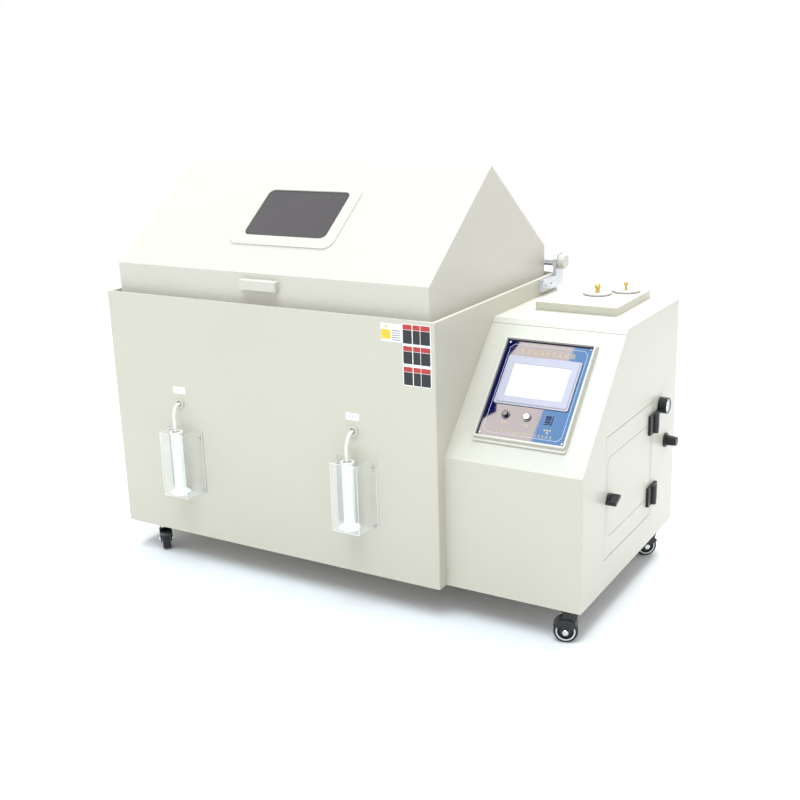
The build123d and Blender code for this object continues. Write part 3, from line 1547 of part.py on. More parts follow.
# Fog funnels, each with a stem that bends forward into its port
with BuildPart() as fog_funnels:
    funnel_y = chamber_front + funnel_set
    for x in front_ports:
        rim = base_z + funnel_top
        neck = rim - funnel_cone_height
        with BuildSketch(Plane(origin=(x, funnel_y, 0), x_dir=(1, 0, 0), z_dir=(0, -1, 0))):
            with BuildLine():
                Polyline(
                    (funnel_stem_bore, port_z + funnel_neck_rise),
                    (funnel_stem_radius, port_z + funnel_neck_rise),
                    (funnel_stem_radius, neck),
                    (funnel_radius, rim),
                    (funnel_radius - funnel_wall, rim),
                    (funnel_stem_bore, neck + funnel_wall),
                    close=True,
                )
            make_face()
        revolve(axis=Axis((x, funnel_y, 0), (0, 0, 1)))
        with BuildLine() as stem_path:
            FilletPolyline(
                (x, funnel_y, port_z + funnel_neck_rise),
                (x, funnel_y, port_z),
                (x, tank_front + 4, port_z),
                radius=funnel_stem_bend,
            )
        with BuildSketch(Plane(origin=stem_path.line @ 0, z_dir=stem_path.line % 0)):
            Circle(funnel_stem_radius)
            Circle(funnel_stem_bore, mode=Mode.SUBTRACT)
        sweep(path=stem_path.line)
save(fog_funnels, "fog_funnels")

# Sample rack: two notched bars on the ledges and round rods laid across them
bar_ys = (chamber_front + rack_bar_inset, chamber_rear - rack_bar_inset)
bar_length = chamber_width - 2 * rack_side_gap
rack_notch_count = int(bar_length // rack_notch_pitch) - 1
notch_z = ledge_top + rack_bar_height - rack_notch_depth
rod_z = notch_z + rod_radius * 2 ** 0.5 + turn_gap
rod_slots = (1, 4, rack_notch_count - 5, rack_notch_count - 2)
with BuildPart() as sample_rack:
    for y in bar_ys:
        with BuildSketch(Plane.XZ.offset(-y - rack_bar_thick / 2)):
            with Locations((tank_mid, ledge_top + rack_bar_height / 2)):
                Rectangle(bar_length, rack_bar_height)
            with Locations((tank_mid, notch_z + rack_notch_depth)):
                with GridLocations(rack_notch_pitch, 1, rack_notch_count, 1):
                    Rectangle(rack_notch_depth * 2 ** 0.5, rack_notch_depth * 2 ** 0.5, rotation=45,
                              mode=Mode.SUBTRACT)
        extrude(amount=rack_bar_thick)
    for slot in rod_slots:
        rod_x = tank_mid + (slot - (rack_notch_count - 1) / 2) * rack_notch_pitch
        with BuildSketch(Plane.XZ.offset(-bar_ys[0] + rod_overhang)):
            with Locations((rod_x, rod_z)):
                Circle(rod_radius)
        extrude(amount=-(bar_ys[1] - bar_ys[0] + 2 * rod_overhang))
save(sample_rack, "sample_rack")

# Heater: a bent tube on two feet, and the temperature probe in the rear wall
heater_y = chamber_rear - heater_rear_inset
heater_z = liner_floor_z + heater_lift
heater_length = chamber_width - 2 * heater_side_gap
heater_left_foot_x = tank_mid - heater_length / 2 + heater_foot_inset
with BuildPart() as heater_and_probe:
    with BuildLine() as heater_path:
        FilletPolyline(
            (tank_mid - heater_length / 2, heater_y, heater_z),
            (tank_mid + heater_length / 2, heater_y, heater_z),
            (tank_mid + heater_length / 2, heater_y - heater_return, heater_z),
            (tank_mid + heater_length / 4, heater_y - heater_return, heater_z),
            radius=heater_bend_radius,
        )
    with BuildSketch(Plane(origin=heater_path.line @ 0, z_dir=heater_path.line % 0)):
        Circle(heater_radius)
    sweep(path=heater_path.line)
    with BuildSketch(Plane.XY.offset(liner_floor_z)):
        for x in (heater_left_foot_x, heater_left_foot_x + heater_length * 3 / 4):
            with Locations((x, heater_y)):
                Rectangle(heater_foot_thick, 2 * heater_radius + 2 * heater_foot_side)
    extrude(amount=heater_lift + heater_radius)
    with BuildSketch(Plane.XZ.offset(-chamber_rear + probe_length)):
        with Locations((tank_mid, base_z + probe_height)):
            Circle(probe_radius)
    extrude(amount=-probe_length - liner_board)
    with BuildSketch(Plane.XZ.offset(-chamber_rear)):
        with Locations((tank_mid, base_z + probe_height)):
            Circle(probe_nut_radius)
    extrude(amount=probe_nut_thick)
save(heater_and_probe, "heater_and_probe")

# Air saturator barrel in the cabinet: a domed vessel, open below, with a boss on its crown
barrel_spot = (cab_right - barrel_side_inset, cab_rear - barrel_rear_inset)
barrel_low = floor_z + floor_board
with BuildPart() as saturator_barrel:
    with BuildSketch(Plane(origin=(*barrel_spot, barrel_low), x_dir=(1, 0, 0), z_dir=(0, -1, 0))):
        with BuildLine():
            inner = barrel_radius - barrel_wall
            Polyline((inner, 0), (barrel_radius, 0), (barrel_radius, barrel_height - barrel_dome))
            ThreePointArc(
                (barrel_radius, barrel_height - barrel_dome),
                (barrel_radius * 0.72, barrel_height - barrel_dome * 0.3),
                (0, barrel_height),
            )
            Line((0, barrel_height), (0, barrel_height - barrel_wall))
            ThreePointArc(
                (0, barrel_height - barrel_wall),
                (inner * 0.72, barrel_height - barrel_dome * 0.3 - barrel_wall),
                (inner, barrel_height - barrel_dome - barrel_wall),
            )
            Line((inner, barrel_height - barrel_dome - barrel_wall), (inner, 0))
        make_face()
    revolve(axis=Axis((*barrel_spot, barrel_low), (0, 0, 1)))
    with BuildSketch(Plane.XY.offset(barrel_low + barrel_height - barrel_wall)):
        with Locations(barrel_spot):
            Circle(barrel_boss_radius)
    extrude(amount=barrel_boss_height)
save(saturator_barrel, "saturator_barrel")

# Brine tank below the hatch, open above
brine_x = cab_inner_left + brine_side_gap + brine_width / 2
brine_y = cab_inner_rear - brine_rear_gap - brine_depth / 2
with BuildPart() as brine_tank:
    with BuildSketch(Plane.XY.offset(barrel_low)):
        with Locations((brine_x, brine_y)):
            RectangleRounded(brine_width, brine_depth, brine_round)
    extrude(amount=brine_height)
    with BuildSketch(Plane.XY.offset(barrel_low + brine_wall)):
        with Locations((brine_x, brine_y)):
            RectangleRounded(brine_width - 2 * brine_wall, brine_depth - 2 * brine_wall,
                             brine_round - brine_wall)
    extrude(amount=brine_height, mode=Mode.SUBTRACT)
save(brine_tank, "brine_tank")

# Electrical plate on the cabinet's inner left wall, with rails and control modules
plate_y = cab_inner_front + electrical_set + electrical_depth / 2
plate_z = barrel_low + electrical_lift + electrical_height / 2
with BuildPart() as electrical_plate:
    with BuildSketch(Plane.YZ.offset(cab_inner_left)):
        with Locations((plate_y, plate_z)):
            Rectangle(electrical_depth, electrical_height)
    extrude(amount=electrical_thick)
    with BuildSketch(Plane.YZ.offset(cab_inner_left + electrical_thick)):
        with Locations((plate_y, plate_z)):
            with GridLocations(1, module_row_pitch, 1, module_rows):
                Rectangle(electrical_depth - 2 * module_rail_inset, module_rail_height)
    extrude(amount=module_rail_thick)
save(electrical_plate, "electrical_plate")

with BuildPart() as control_modules:
    with BuildSketch(Plane.YZ.offset(cab_inner_left + electrical_thick + module_rail_thick)):
        with Locations((plate_y, plate_z)):
            with GridLocations(module_pitch, module_row_pitch, module_columns, module_rows):
                Rectangle(module_depth, module_height)
    extrude(amount=module_reach)
save(control_modules, "control_modules")

# Casters: for each, its swivel point and the heading of its trail in degrees
casters = {
    "front_left": (tank_left + tank_caster_side_inset, tank_front + tank_caster_front_inset, -46),
    "front_right": (cab_right - cabinet_caster_side_inset, cab_front + cabinet_caster_front_inset, 199),
    "rear_left": (tank_left + tank_caster_side_inset, tank_rear - tank_caster_rear_inset, 240),
    "rear_right": (cab_right - cabinet_caster_side_inset, cab_rear - cabinet_caster_rear_inset, 218),
}
wheel_radius = wheel_diameter / 2
plate_low = base_z - caster_plate_thick
crown_top = plate_low - turn_gap
crown_low = crown_top - fork_crown_thick
fork_gap = wheel_width + 2 * wheel_side_gap

with BuildPart() as caster_plates:
    for x, y, heading in casters.values():
        with BuildSketch(Plane.XY.offset(plate_low)):
            with Locations((x, y)):
                RectangleRounded(caster_plate_size, caster_plate_size, caster_plate_round)
        extrude(amount=caster_plate_thick)
        with BuildSketch(Plane.XY.offset(plate_low)):
            with Locations((x, y)):
                Circle(kingpin_radius)
        extrude(amount=crown_low - turn_gap - plate_low)
        with BuildSketch(Plane.XY.offset(crown_low - turn_gap)):
            with Locations((x, y)):
                Circle(kingpin_head_radius)
        extrude(amount=-kingpin_head_thick)
save(caster_plates, "caster_plates")


def make_caster(name, x, y, heading):
    """The swivelling fork with its axle, and the wheel that turns on it."""
    turn = radians(heading)
    hub = (x + caster_trail * cos(turn), y + caster_trail * sin(turn), wheel_radius)
    upright = Plane(origin=hub, x_dir=(cos(turn), sin(turn), 0), z_dir=(sin(turn), -cos(turn), 0))
    with BuildPart() as fork:
        with BuildSketch(upright.offset(fork_gap / 2)):
            Circle(fork_foot_radius)
            with Locations((-caster_trail, crown_low + fork_crown_thick / 2 - wheel_radius)):
                Rectangle(fork_top_width, fork_crown_thick)
            make_hull()
        extrude(amount=fork_thick)
        with BuildSketch(upright.offset(fork_gap / 2 + fork_thick)):
            RegularPolygon(axle_nut_radius, 6)
        extrude(amount=axle_nut_thick)
        mirror(about=upright)
        with BuildSketch(upright):
            Circle(axle_radius)
        extrude(amount=fork_gap / 2 + fork_thick, both=True)
        with BuildSketch(Plane.XY.offset(crown_low)):
            with Locations((x, y)):
                Circle(fork_crown_radius)
        extrude(amount=fork_crown_thick)
        with BuildSketch(Plane.XY.offset(crown_low)):
            with Locations((x, y)):
                Circle(kingpin_radius + bore_gap)
        extrude(amount=fork_crown_thick, mode=Mode.SUBTRACT)
    save(fork, f"caster_fork_{name}")
    with BuildPart() as wheel:
        with BuildSketch(upright):
            Circle(wheel_radius)
        extrude(amount=wheel_width / 2, both=True)
        rims = wheel.edges().filter_by(GeomType.CIRCLE)
        fillet(rims, tread_round)
        for side in (-1, 1):
            with BuildSketch(upright.offset(side * wheel_width / 2)):
                Circle(wheel_hub_radius + hub_recess_width)
                Circle(wheel_hub_radius, mode=Mode.SUBTRACT)
            extrude(amount=-side * hub_recess, mode=Mode.SUBTRACT)
        with BuildSketch(upright):
            Circle(axle_radius + bore_gap)
        extrude(amount=wheel_width / 2, both=True, mode=Mode.SUBTRACT)
    save(wheel, f"caster_wheel_{name}")


for caster_name, caster_place in casters.items():
    make_caster(caster_name, *caster_place)
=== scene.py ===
import json
from math import cos, pi, radians, sin

import bmesh
import bpy
from mathutils import Matrix, Vector


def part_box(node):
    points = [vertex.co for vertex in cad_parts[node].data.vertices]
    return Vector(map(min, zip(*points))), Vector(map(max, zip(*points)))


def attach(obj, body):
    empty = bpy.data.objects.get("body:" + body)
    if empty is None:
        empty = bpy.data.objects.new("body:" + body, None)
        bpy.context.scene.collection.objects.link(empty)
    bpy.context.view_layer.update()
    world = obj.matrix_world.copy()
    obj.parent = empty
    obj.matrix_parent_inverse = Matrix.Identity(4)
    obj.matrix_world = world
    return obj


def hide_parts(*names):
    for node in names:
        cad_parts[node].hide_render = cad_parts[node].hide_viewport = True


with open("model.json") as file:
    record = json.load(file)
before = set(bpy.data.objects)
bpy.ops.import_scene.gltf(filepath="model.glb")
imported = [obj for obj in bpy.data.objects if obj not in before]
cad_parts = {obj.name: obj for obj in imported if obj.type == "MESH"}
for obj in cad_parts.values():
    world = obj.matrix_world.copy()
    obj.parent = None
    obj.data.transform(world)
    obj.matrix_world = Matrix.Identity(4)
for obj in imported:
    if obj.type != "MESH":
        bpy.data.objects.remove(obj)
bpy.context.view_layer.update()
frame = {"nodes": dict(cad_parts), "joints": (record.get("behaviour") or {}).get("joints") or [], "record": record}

# Sizes are in mm and are stored in metres
MM = 0.001
RIGHT = Vector((1, 0, 0))
BACK = Vector((0, 1, 0))
UP = Vector((0, 0, 1))
metre = Matrix.Diagonal((MM, MM, MM, 1))

# Places are measured from the tank's front left bottom corner
tank_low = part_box("tank_shell")[0]
# Foot of the cabinet's slope, below the middle of the control panel
slope_foot = (1301, 37.5, 363)
slope_angle = radians(46.3)
slope_up = Vector((0, cos(slope_angle), sin(slope_angle)))
slope_out = Vector((0, -sin(slope_angle), cos(slope_angle)))

# Edges between faces that turn by more than this stay sharp
sharp_angle = radians(35)
# Flat pieces start this far inside the face that they lie on
sunk = -0.1


def spot(x, y, z):
    """A place in mm from the tank's front left bottom corner, in the row frame."""
    return tank_low + Vector((x, y, z)) * MM


def place(origin, across, up, out):
    """The matrix that sets a piece, drawn in mm, on a face of the machine."""
    return Matrix.Translation(origin) @ (Matrix((across, up, out)).transposed() * MM).to_4x4()


front = place(spot(0, 0, 0), RIGHT, UP, -BACK)
slope = place(spot(*slope_foot), RIGHT, slope_up, slope_out)


def linear(code):
    """An sRGB hex colour as the linear colour that a shader takes."""
    parts = [int(code[i:i + 2], 16) / 255 for i in (0, 2, 4)]
    return tuple(c / 12.92 if c <= 0.04045 else ((c + 0.055) / 1.055) ** 2.4 for c in parts) + (1.0,)


def add(tree, kind, inputs=None, **settings):
    """A node with its settings, and with its inputs set to a value or linked to a socket."""
    node = tree.nodes.new(kind)
    for key, value in settings.items():
        setattr(node, key, value)
    for key, value in (inputs or {}).items():
        if isinstance(value, bpy.types.NodeSocket):
            tree.links.new(value, node.inputs[key])
        else:
            node.inputs[key].default_value = value
    return node


# The mix node's sockets share their names, so its colour sockets are reached by number
MIX_FIRST = 6
MIX_SECOND = 7
MIX_RESULT = 2


def moulded(name, pale, deep, patch, grain, relief, roughness, spread, edge=0.0, stretch=None, sockets=None):
    """A surface whose tone drifts over patches and whose sheen and relief follow a fine grain, in metres."""
    material = bpy.data.materials.new(name)
    material.use_nodes = True
    tree = material.node_tree
    tree.nodes.clear()
    where = add(tree, "ShaderNodeTexCoord").outputs["Object"]
    cloud = add(tree, "ShaderNodeTexNoise", {"Vector": where, "Scale": 1 / patch, "Detail": 3.0})
    tone = add(tree, "ShaderNodeMix", {
        "Factor": cloud.outputs[0], MIX_FIRST: linear(pale), MIX_SECOND: linear(deep)}, data_type="RGBA")
    if stretch:
        where = add(tree, "ShaderNodeMapping", {"Vector": where, "Scale": stretch}).outputs[0]
    fine = add(tree, "ShaderNodeTexNoise", {"Vector": where, "Scale": 1 / grain, "Detail": 2.0})
    sheen = add(tree, "ShaderNodeMapRange", {
        "Value": fine.outputs[0], "From Min": 0.3, "From Max": 0.7,
        "To Min": roughness - spread, "To Max": roughness + spread})
    relief_in = {"Height": fine.outputs[0], "Strength": 1.0, "Distance": relief}
    if edge:
        relief_in["Normal"] = add(tree, "ShaderNodeBevel", {"Radius": edge}, samples=4).outputs[0]
    bump = add(tree, "ShaderNodeBump", relief_in)
    body = add(tree, "ShaderNodeBsdfPrincipled", {
        "Base Color": tone.outputs[MIX_RESULT], "Roughness": sheen.outputs[0], "Normal": bump.outputs[0],
        **(sockets or {})})
    add(tree, "ShaderNodeOutputMaterial", {"Surface": body.outputs[0]})
    return material


finishes = {
    # welded PVC board: warm white, satin, with a faint drift of tone from sheet to sheet
    "pvc_board": moulded("pvc_board_satin", "C5C1B4", "C0BCAE", patch=0.4, grain=0.003, relief=0.00003,
                         roughness=0.34, spread=0.05, edge=0.0012),
    # moulded white PVC: colder and smoother than the boards
    "pvc_white": moulded("pvc_moulded_white", "C6C2B7", "C1BDB2", patch=0.2, grain=0.002, relief=0.00001,
                         roughness=0.3, spread=0.04, edge=0.0008),
    # steel angle under grey enamel with a light orange peel
    "frame_steel": moulded("grey_enamel", "A9AAA8", "9FA09E", patch=0.1, grain=0.002, relief=0.00004,
                           roughness=0.4, spread=0.06),
    # ground stainless steel with streaks along its length
    "stainless": moulded("stainless_ground", "C6C7C8", "B4B6B8", patch=0.03, grain=0.0012, relief=0.00001,
                         roughness=0.28, spread=0.08, stretch=(0.1, 1.0, 1.0), sockets={"Metallic": 1.0}),
    # clear acrylic sheet; its bright cut edges are a painted highlight, drawn as separate white strips
    "clear_acrylic": moulded("acrylic_clear", "FBFDFC", "F6FAF9", patch=0.1, grain=0.004, relief=0.000004,
                             roughness=0.03, spread=0.01, sockets={"Alpha": 0.1, "IOR": 1.49}),
    # milky polypropylene that lets some light through
    "cylinder_plastic": moulded("polypropylene_milky", "F8F8F6", "F3F3F1", patch=0.05, grain=0.002,
                                relief=0.00001, roughness=0.32, spread=0.05,
                                sockets={"Subsurface Weight": 0.1, "IOR": 1.49}),
    # soft white silicone hose
    "hose_silicone": moulded("silicone_white", "ECE9DF", "E4E0D3", patch=0.03, grain=0.001, relief=0.00001,
                             roughness=0.42, spread=0.06),
    # navy back-printed acrylic: a hard, mirror-like face
    "navy_plate": moulded("acrylic_navy", "05063A", "040530", patch=0.1, grain=0.006, relief=0.0,
                          roughness=0.03, spread=0.01,
                          sockets={"IOR": 1.5, "Coat Weight": 0.15, "Coat Roughness": 0.02}),
    # pale lavender ABS of the screen unit
    "hmi_plastic": moulded("abs_lavender", "A9A6B3", "A29FAC", patch=0.05, grain=0.001, relief=0.00002,
                           roughness=0.42, spread=0.05, edge=0.0006),
    # lit white display behind glass
    "screen": moulded("display_lit", "8F96A3", "8A919E", patch=0.08, grain=0.004, relief=0.0, roughness=0.08,
                      spread=0.02, sockets={"Emission Color": linear("E9F1FF"), "Emission Strength": 0.5}),
    # bright plate on the key switch
    "chrome_trim": moulded("chrome_plate", "D6D8DA", "C9CBCE", patch=0.02, grain=0.003, relief=0.000002,
                           roughness=0.08, spread=0.03, sockets={"Metallic": 1.0}),
    # black nylon with a fine moulded grain
    "black_plastic": moulded("nylon_black", "17181A", "101113", patch=0.03, grain=0.0008, relief=0.00003,
                             roughness=0.42, spread=0.08),
    # white enamel behind the gauge's clear lens
    "dial_white": moulded("dial_enamel", "F0F1EF", "E9EAE8", patch=0.02, grain=0.002, relief=0.0,
                          roughness=0.3, spread=0.04),
    "lens": moulded("lens_clear", "FDFEFE", "F9FCFC", patch=0.05, grain=0.004, relief=0.0, roughness=0.02,
                    spread=0.008, sockets={"Transmission Weight": 1.0, "IOR": 1.49}),
    # black baked paint on the caster forks, matt rubber on their wheels
    "caster_steel": moulded("caster_black_paint", "16171A", "0E0F11", patch=0.03, grain=0.0015,
                            relief=0.00003, roughness=0.36, spread=0.07),
    "caster_rubber": moulded("rubber_black", "1A1A1B", "121213", patch=0.02, grain=0.001, relief=0.00004,
                             roughness=0.62, spread=0.08),
    # natural polyethylene of the brine tank
    "tank_plastic": moulded("polyethylene_natural", "E4E8EA", "DADFE2", patch=0.08, grain=0.002,
                            relief=0.00003, roughness=0.4, spread=0.05, sockets={"Subsurface Weight": 0.1}),
    # grey polyamide of the electrical modules
    "control_grey": moulded("polyamide_grey", "8A8E91", "7E8285", patch=0.03, grain=0.001, relief=0.00002,
                            roughness=0.45, spread=0.05),
    # dark smoked acrylic that still mirrors the bright room
    "window_smoke": moulded("acrylic_smoked", "4A4546", "403C3D", patch=0.15, grain=0.006, relief=0.0,
                            roughness=0.09, spread=0.02, sockets={"IOR": 1.49}),
    # glossy caps of the push button and the rocker
    "button_dark": moulded("button_cap_dark", "17202C", "101722", patch=0.01, grain=0.002, relief=0.0,
                           roughness=0.12, spread=0.04),
    "rocker_blue": moulded("rocker_translucent_blue", "1B3A6E", "142E5C", patch=0.01, grain=0.002,
                           relief=0.0, roughness=0.18, spread=0.04),
    # turned brass, a little dulled
    "brass": moulded("brass_turned", "D6BF74", "C7AC5C", patch=0.008, grain=0.0006, relief=0.00001,
                     roughness=0.26, spread=0.08, sockets={"Metallic": 1.0}),
}
for part in frame["record"]["subparts"]:
    node = frame["nodes"][part["node"]]
    node.data.materials.clear()
    node.data.materials.append(finishes[part["material_slot"]])

# The collars round the three controls look dark blue in the photograph
frame["nodes"]["switch_collars"].data.materials[0] = moulded(
    "collar_dark_blue", "1A2038", "141A30", patch=0.01, grain=0.002, relief=0.0, roughness=0.14, spread=0.04)

# The tank and lid don't show in mirror-like faces, which are lit as in the photograph
for name in ("tank_shell", "lid_shell", "rim_trough", "chamber_liner"):
    frame["nodes"][name].visible_glossy = False

# Finishes of the pieces that only the scene has
ink = {"patch": 0.01, "grain": 0.001, "relief": 0.0, "roughness": 0.4, "spread": 0.05}
satin_ink = {**ink, "roughness": 0.35}
# white label paper, which also paints the highlights along the clear pockets' edges
label_and_highlight_white = moulded("label_paper_and_highlight", "F2F3F1", "ECEDEB", **{**satin_ink, "patch": 0.02})
label_black = moulded("label_ink_black", "26272A", "1E1F22", **ink)
label_red = moulded("label_ink_red", "B8352F", "AC2D28", **ink)
label_yellow = moulded("label_ink_yellow", "E8C53A", "DDB92F", **ink)
label_grey = moulded("label_ink_grey", "8E9092", "848688", **ink)
print_silver = moulded("print_silver", "C3C8D2", "B8BDC8", **satin_ink)
print_gold = moulded("print_gold", "B7A678", "AC9A6B", **satin_ink)
# dark rubber, which also paints the shadow line at the foot of the cover's flanges
gasket_and_shade_dark = moulded("gasket_rubber_and_shade", "2A2A2B", "212122", patch=0.01, grain=0.001, relief=0.00003,
                      roughness=0.6, spread=0.06)
wheel_white = moulded("wheel_rim_white", "DDDDDC", "D2D2D1", patch=0.01, grain=0.001, relief=0.00001,
                      roughness=0.35, spread=0.06)


def merged(*pieces):
    """Several meshes, each as points and faces, as one."""
    points, faces = [], []
    for more_points, more_faces in pieces:
        faces += [tuple(i + len(points) for i in face) for face in more_faces]
        points += more_points
    return points, faces


def slab(outline, low, high, at):
    """A flat piece from its outline in mm, between two heights above the face that the matrix gives."""
    count = len(outline)
    points = [at @ Vector((x, y, h)) for h in (low, high) for x, y in outline]
    faces = [tuple(reversed(range(count))), tuple(range(count, 2 * count))]
    faces += [(i, (i + 1) % count, (i + 1) % count + count, i + count) for i in range(count)]
    return points, faces


def slabs(outlines, low, high, at):
    """Several flat pieces between the same two heights, as one mesh."""
    return merged(*[slab(outline, low, high, at) for outline in outlines])


def rectangle(x_low, x_high, y_low, y_high, corner=0.0):
    """A rectangle's outline in mm, with round corners where a radius is given."""
    if not corner:
        return [(x_low, y_low), (x_high, y_low), (x_high, y_high), (x_low, y_high)]
    middles = ((x_high - corner, y_high - corner), (x_low + corner, y_high - corner),
               (x_low + corner, y_low + corner), (x_high - corner, y_low + corner))
    steps = 5
    outline = []
    for quarter, (x, y) in enumerate(middles):
        for step in range(steps + 1):
            turn = (quarter + step / steps) * pi / 2
            outline.append((x + corner * cos(turn), y + corner * sin(turn)))
    return outline


def clipped(half, low, high, cut):
    """The outline in mm of a rectangle with its corners cut off."""
    return [(-half + cut, low), (half - cut, low), (half, low + cut), (half, high - cut),
            (half - cut, high), (-half + cut, high), (-half, high - cut), (-half, low + cut)]


def arc(radius, start, step, count):
    """Points at equal steps in degrees round the origin."""
    turns = [radians(start + step * k) for k in range(count)]
    return [(radius * cos(turn), radius * sin(turn)) for turn in turns]


def row(glyph, start, pitch, count):
    """The bars of a glyph, each as its left, right, foot and head in mm, repeated along a row."""
    lefts = [start + pitch * k for k in range(count)]
    return [rectangle(left + a, left + b, foot, head) for left in lefts for a, b, foot, head in glyph]


def strip_faces(rows, count, closed):
    """The faces between rows of as many points each, each row closed on itself."""
    faces = []
    for k in range(rows if closed else rows - 1):
        here, there = k * count, (k + 1) % rows * count
        for i in range(count):
            j = (i + 1) % count
            faces.append((here + i, there + i, there + j, here + j))
    return faces


def ring(outer, inner, low, high, at):
    """A flat band between two outlines of as many points each."""
    levels = ((outer, low), (outer, high), (inner, high), (inner, low))
    points = [at @ Vector((x, y, h)) for outline, h in levels for x, y in outline]
    return points, strip_faces(len(levels), len(outer), True)


def turned(profile, at, steps=48):
    """A round piece from its closed profile of radius and height in mm, about the matrix's third axis."""
    turns = [2 * pi * k / steps for k in range(steps)]
    points = [at @ Vector((r * cos(turn), r * sin(turn), h)) for turn in turns for r, h in profile]
    return points, strip_faces(steps, len(profile), True)


def both_ways(profile, at):
    """A round piece and its mirror image across the plane at height 0, as one mesh."""
    return merged(*[turned([(r, way * h) for r, h in profile], at) for way in (-1, 1)])


def hood(profile, at, start, end, steps=20):
    """A piece from its closed profile of radius and height in mm, swept from one turn to another."""
    count = len(profile)
    turns = [start + (end - start) * k / steps for k in range(steps + 1)]
    points = [at @ Vector((r * cos(turn), r * sin(turn), h)) for turn in turns for r, h in profile]
    ends = [tuple(range(count)), tuple(reversed(range(steps * count, (steps + 1) * count)))]
    return points, ends + strip_faces(steps + 1, count, False)


def finished_mesh(name, shape):
    """A mesh with its doubles joined, its faces turned outward and its round faces shaded smooth."""
    points, faces = shape
    mesh = bpy.data.meshes.new(name)
    mesh.from_pydata([tuple(point) for point in points], [], faces)
    build = bmesh.new()
    build.from_mesh(mesh)
    bmesh.ops.remove_doubles(build, verts=build.verts, dist=1e-6)
    bmesh.ops.dissolve_degenerate(build, edges=build.edges, dist=1e-7)
    bmesh.ops.recalc_face_normals(build, faces=build.faces)
    build.to_mesh(mesh)
    build.free()
    mesh.shade_smooth()
    mesh.set_sharp_from_angle(angle=sharp_angle)
    return mesh


def linked(name, data):
    """An object with the given data, in the scene."""
    made = bpy.data.objects.new(name, data)
    bpy.context.scene.collection.objects.link(made)
    return made


def worked_out(item):
    """The mesh that an object has after its modifiers."""
    bpy.context.view_layer.update()
    return bpy.data.meshes.new_from_object(item.evaluated_get(bpy.context.evaluated_depsgraph_get()))


def new_piece(name, shape, body, finish):
    """A piece of the scene that rides on a body and takes the finish that it is given."""
    mesh = shape if isinstance(shape, bpy.types.Mesh) else finished_mesh(name, shape)
    mesh.materials.clear()
    mesh.materials.append(finish)
    piece = linked(name, mesh)
    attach(piece, body)
    return piece


# Repeats: one piece set on every spot, turned by the spot's two directions
repeat = bpy.data.node_groups.new("repeat_on_spots", "GeometryNodeTree")
for title, way, kind in (("Spots", "INPUT", "Geometry"), ("Piece", "INPUT", "Object"),
                         ("Finish", "INPUT", "Material"), ("Result", "OUTPUT", "Geometry")):
    repeat.interface.new_socket(title, in_out=way, socket_type="NodeSocket" + kind)
entry = add(repeat, "NodeGroupInput").outputs
across_in = add(repeat, "GeometryNodeInputNamedAttribute", {"Name": "across"}, data_type="FLOAT_VECTOR")
out_in = add(repeat, "GeometryNodeInputNamedAttribute", {"Name": "out"}, data_type="FLOAT_VECTOR")
turn_in = add(repeat, "FunctionNodeAxesToRotation", {
    "Primary Axis": out_in.outputs[0], "Secondary Axis": across_in.outputs[0]},
    primary_axis="Z", secondary_axis="X")
piece_in = add(repeat, "GeometryNodeObjectInfo", {"Object": entry["Piece"]})
copies = add(repeat, "GeometryNodeInstanceOnPoints", {
    "Points": entry["Spots"], "Instance": piece_in.outputs["Geometry"], "Rotation": turn_in.outputs[0]})
solid = add(repeat, "GeometryNodeRealizeInstances", {"Geometry": copies.outputs[0]})
painted = add(repeat, "GeometryNodeSetMaterial", {
    "Geometry": solid.outputs[0], "Material": entry["Finish"]})
add(repeat, "NodeGroupOutput", {"Result": painted.outputs[0]})
inputs_of = {item.name: item.identifier for item in repeat.interface.items_tree if item.in_out == "INPUT"}


def repeated(name, source, spots, body, finish):
    """One mesh set on every (place, across, out), as a plain mesh on its body."""
    places, acrosses, outs = zip(*spots)
    carrier_mesh = bpy.data.meshes.new(name + "_spots")
    carrier_mesh.from_pydata([tuple(at) for at in places], [], [])
    for title, ways in (("across", acrosses), ("out", outs)):
        values = carrier_mesh.attributes.new(title, "FLOAT_VECTOR", "POINT").data
        for value, way in zip(values, ways):
            value.vector = way
    carrier = linked(name + "_carrier", carrier_mesh)
    pattern = linked(name + "_pattern", source)
    modifier = carrier.modifiers.new("repeat", "NODES")
    modifier.node_group = repeat
    modifier[inputs_of["Piece"]] = pattern
    modifier[inputs_of["Finish"]] = finish
    made = worked_out(carrier)
    carrier.modifiers.clear()
    bpy.data.objects.remove(carrier)
    bpy.data.objects.remove(pattern)
    return new_piece(name, made, body, finish)


# Pan screw with a cross recess, from its seat at height 0
screw_profile = [(0, -0.6), (3.6, -0.6), (3.9, 0.2), (3.8, 0.9), (3.2, 1.7), (2.0, 2.3), (0, 2.5)]
recess_floor, recess_top = 1.1, 4.0
arm, slot_half = 2.1, 0.35
recess_outline = [(-arm, -slot_half), (-slot_half, -slot_half), (-slot_half, -arm), (slot_half, -arm),
                  (slot_half, -slot_half), (arm, -slot_half), (arm, slot_half), (slot_half, slot_half),
                  (slot_half, arm), (-slot_half, arm), (-slot_half, slot_half), (-arm, slot_half)]
pan = linked("pan_screw_head", finished_mesh("pan_screw", turned(screw_profile, metre, 32)))
cross = linked("pan_screw_cross", finished_mesh(
    "pan_screw_cross", slab(recess_outline, recess_floor, recess_top, metre)))
cut = pan.modifiers.new("cross", "BOOLEAN")
cut.operation = "DIFFERENCE"
cut.object = cross
screw_mesh = worked_out(pan)
bpy.data.objects.remove(pan)
bpy.data.objects.remove(cross)
screw_mesh.shade_smooth()
screw_mesh.set_sharp_from_angle(angle=sharp_angle)


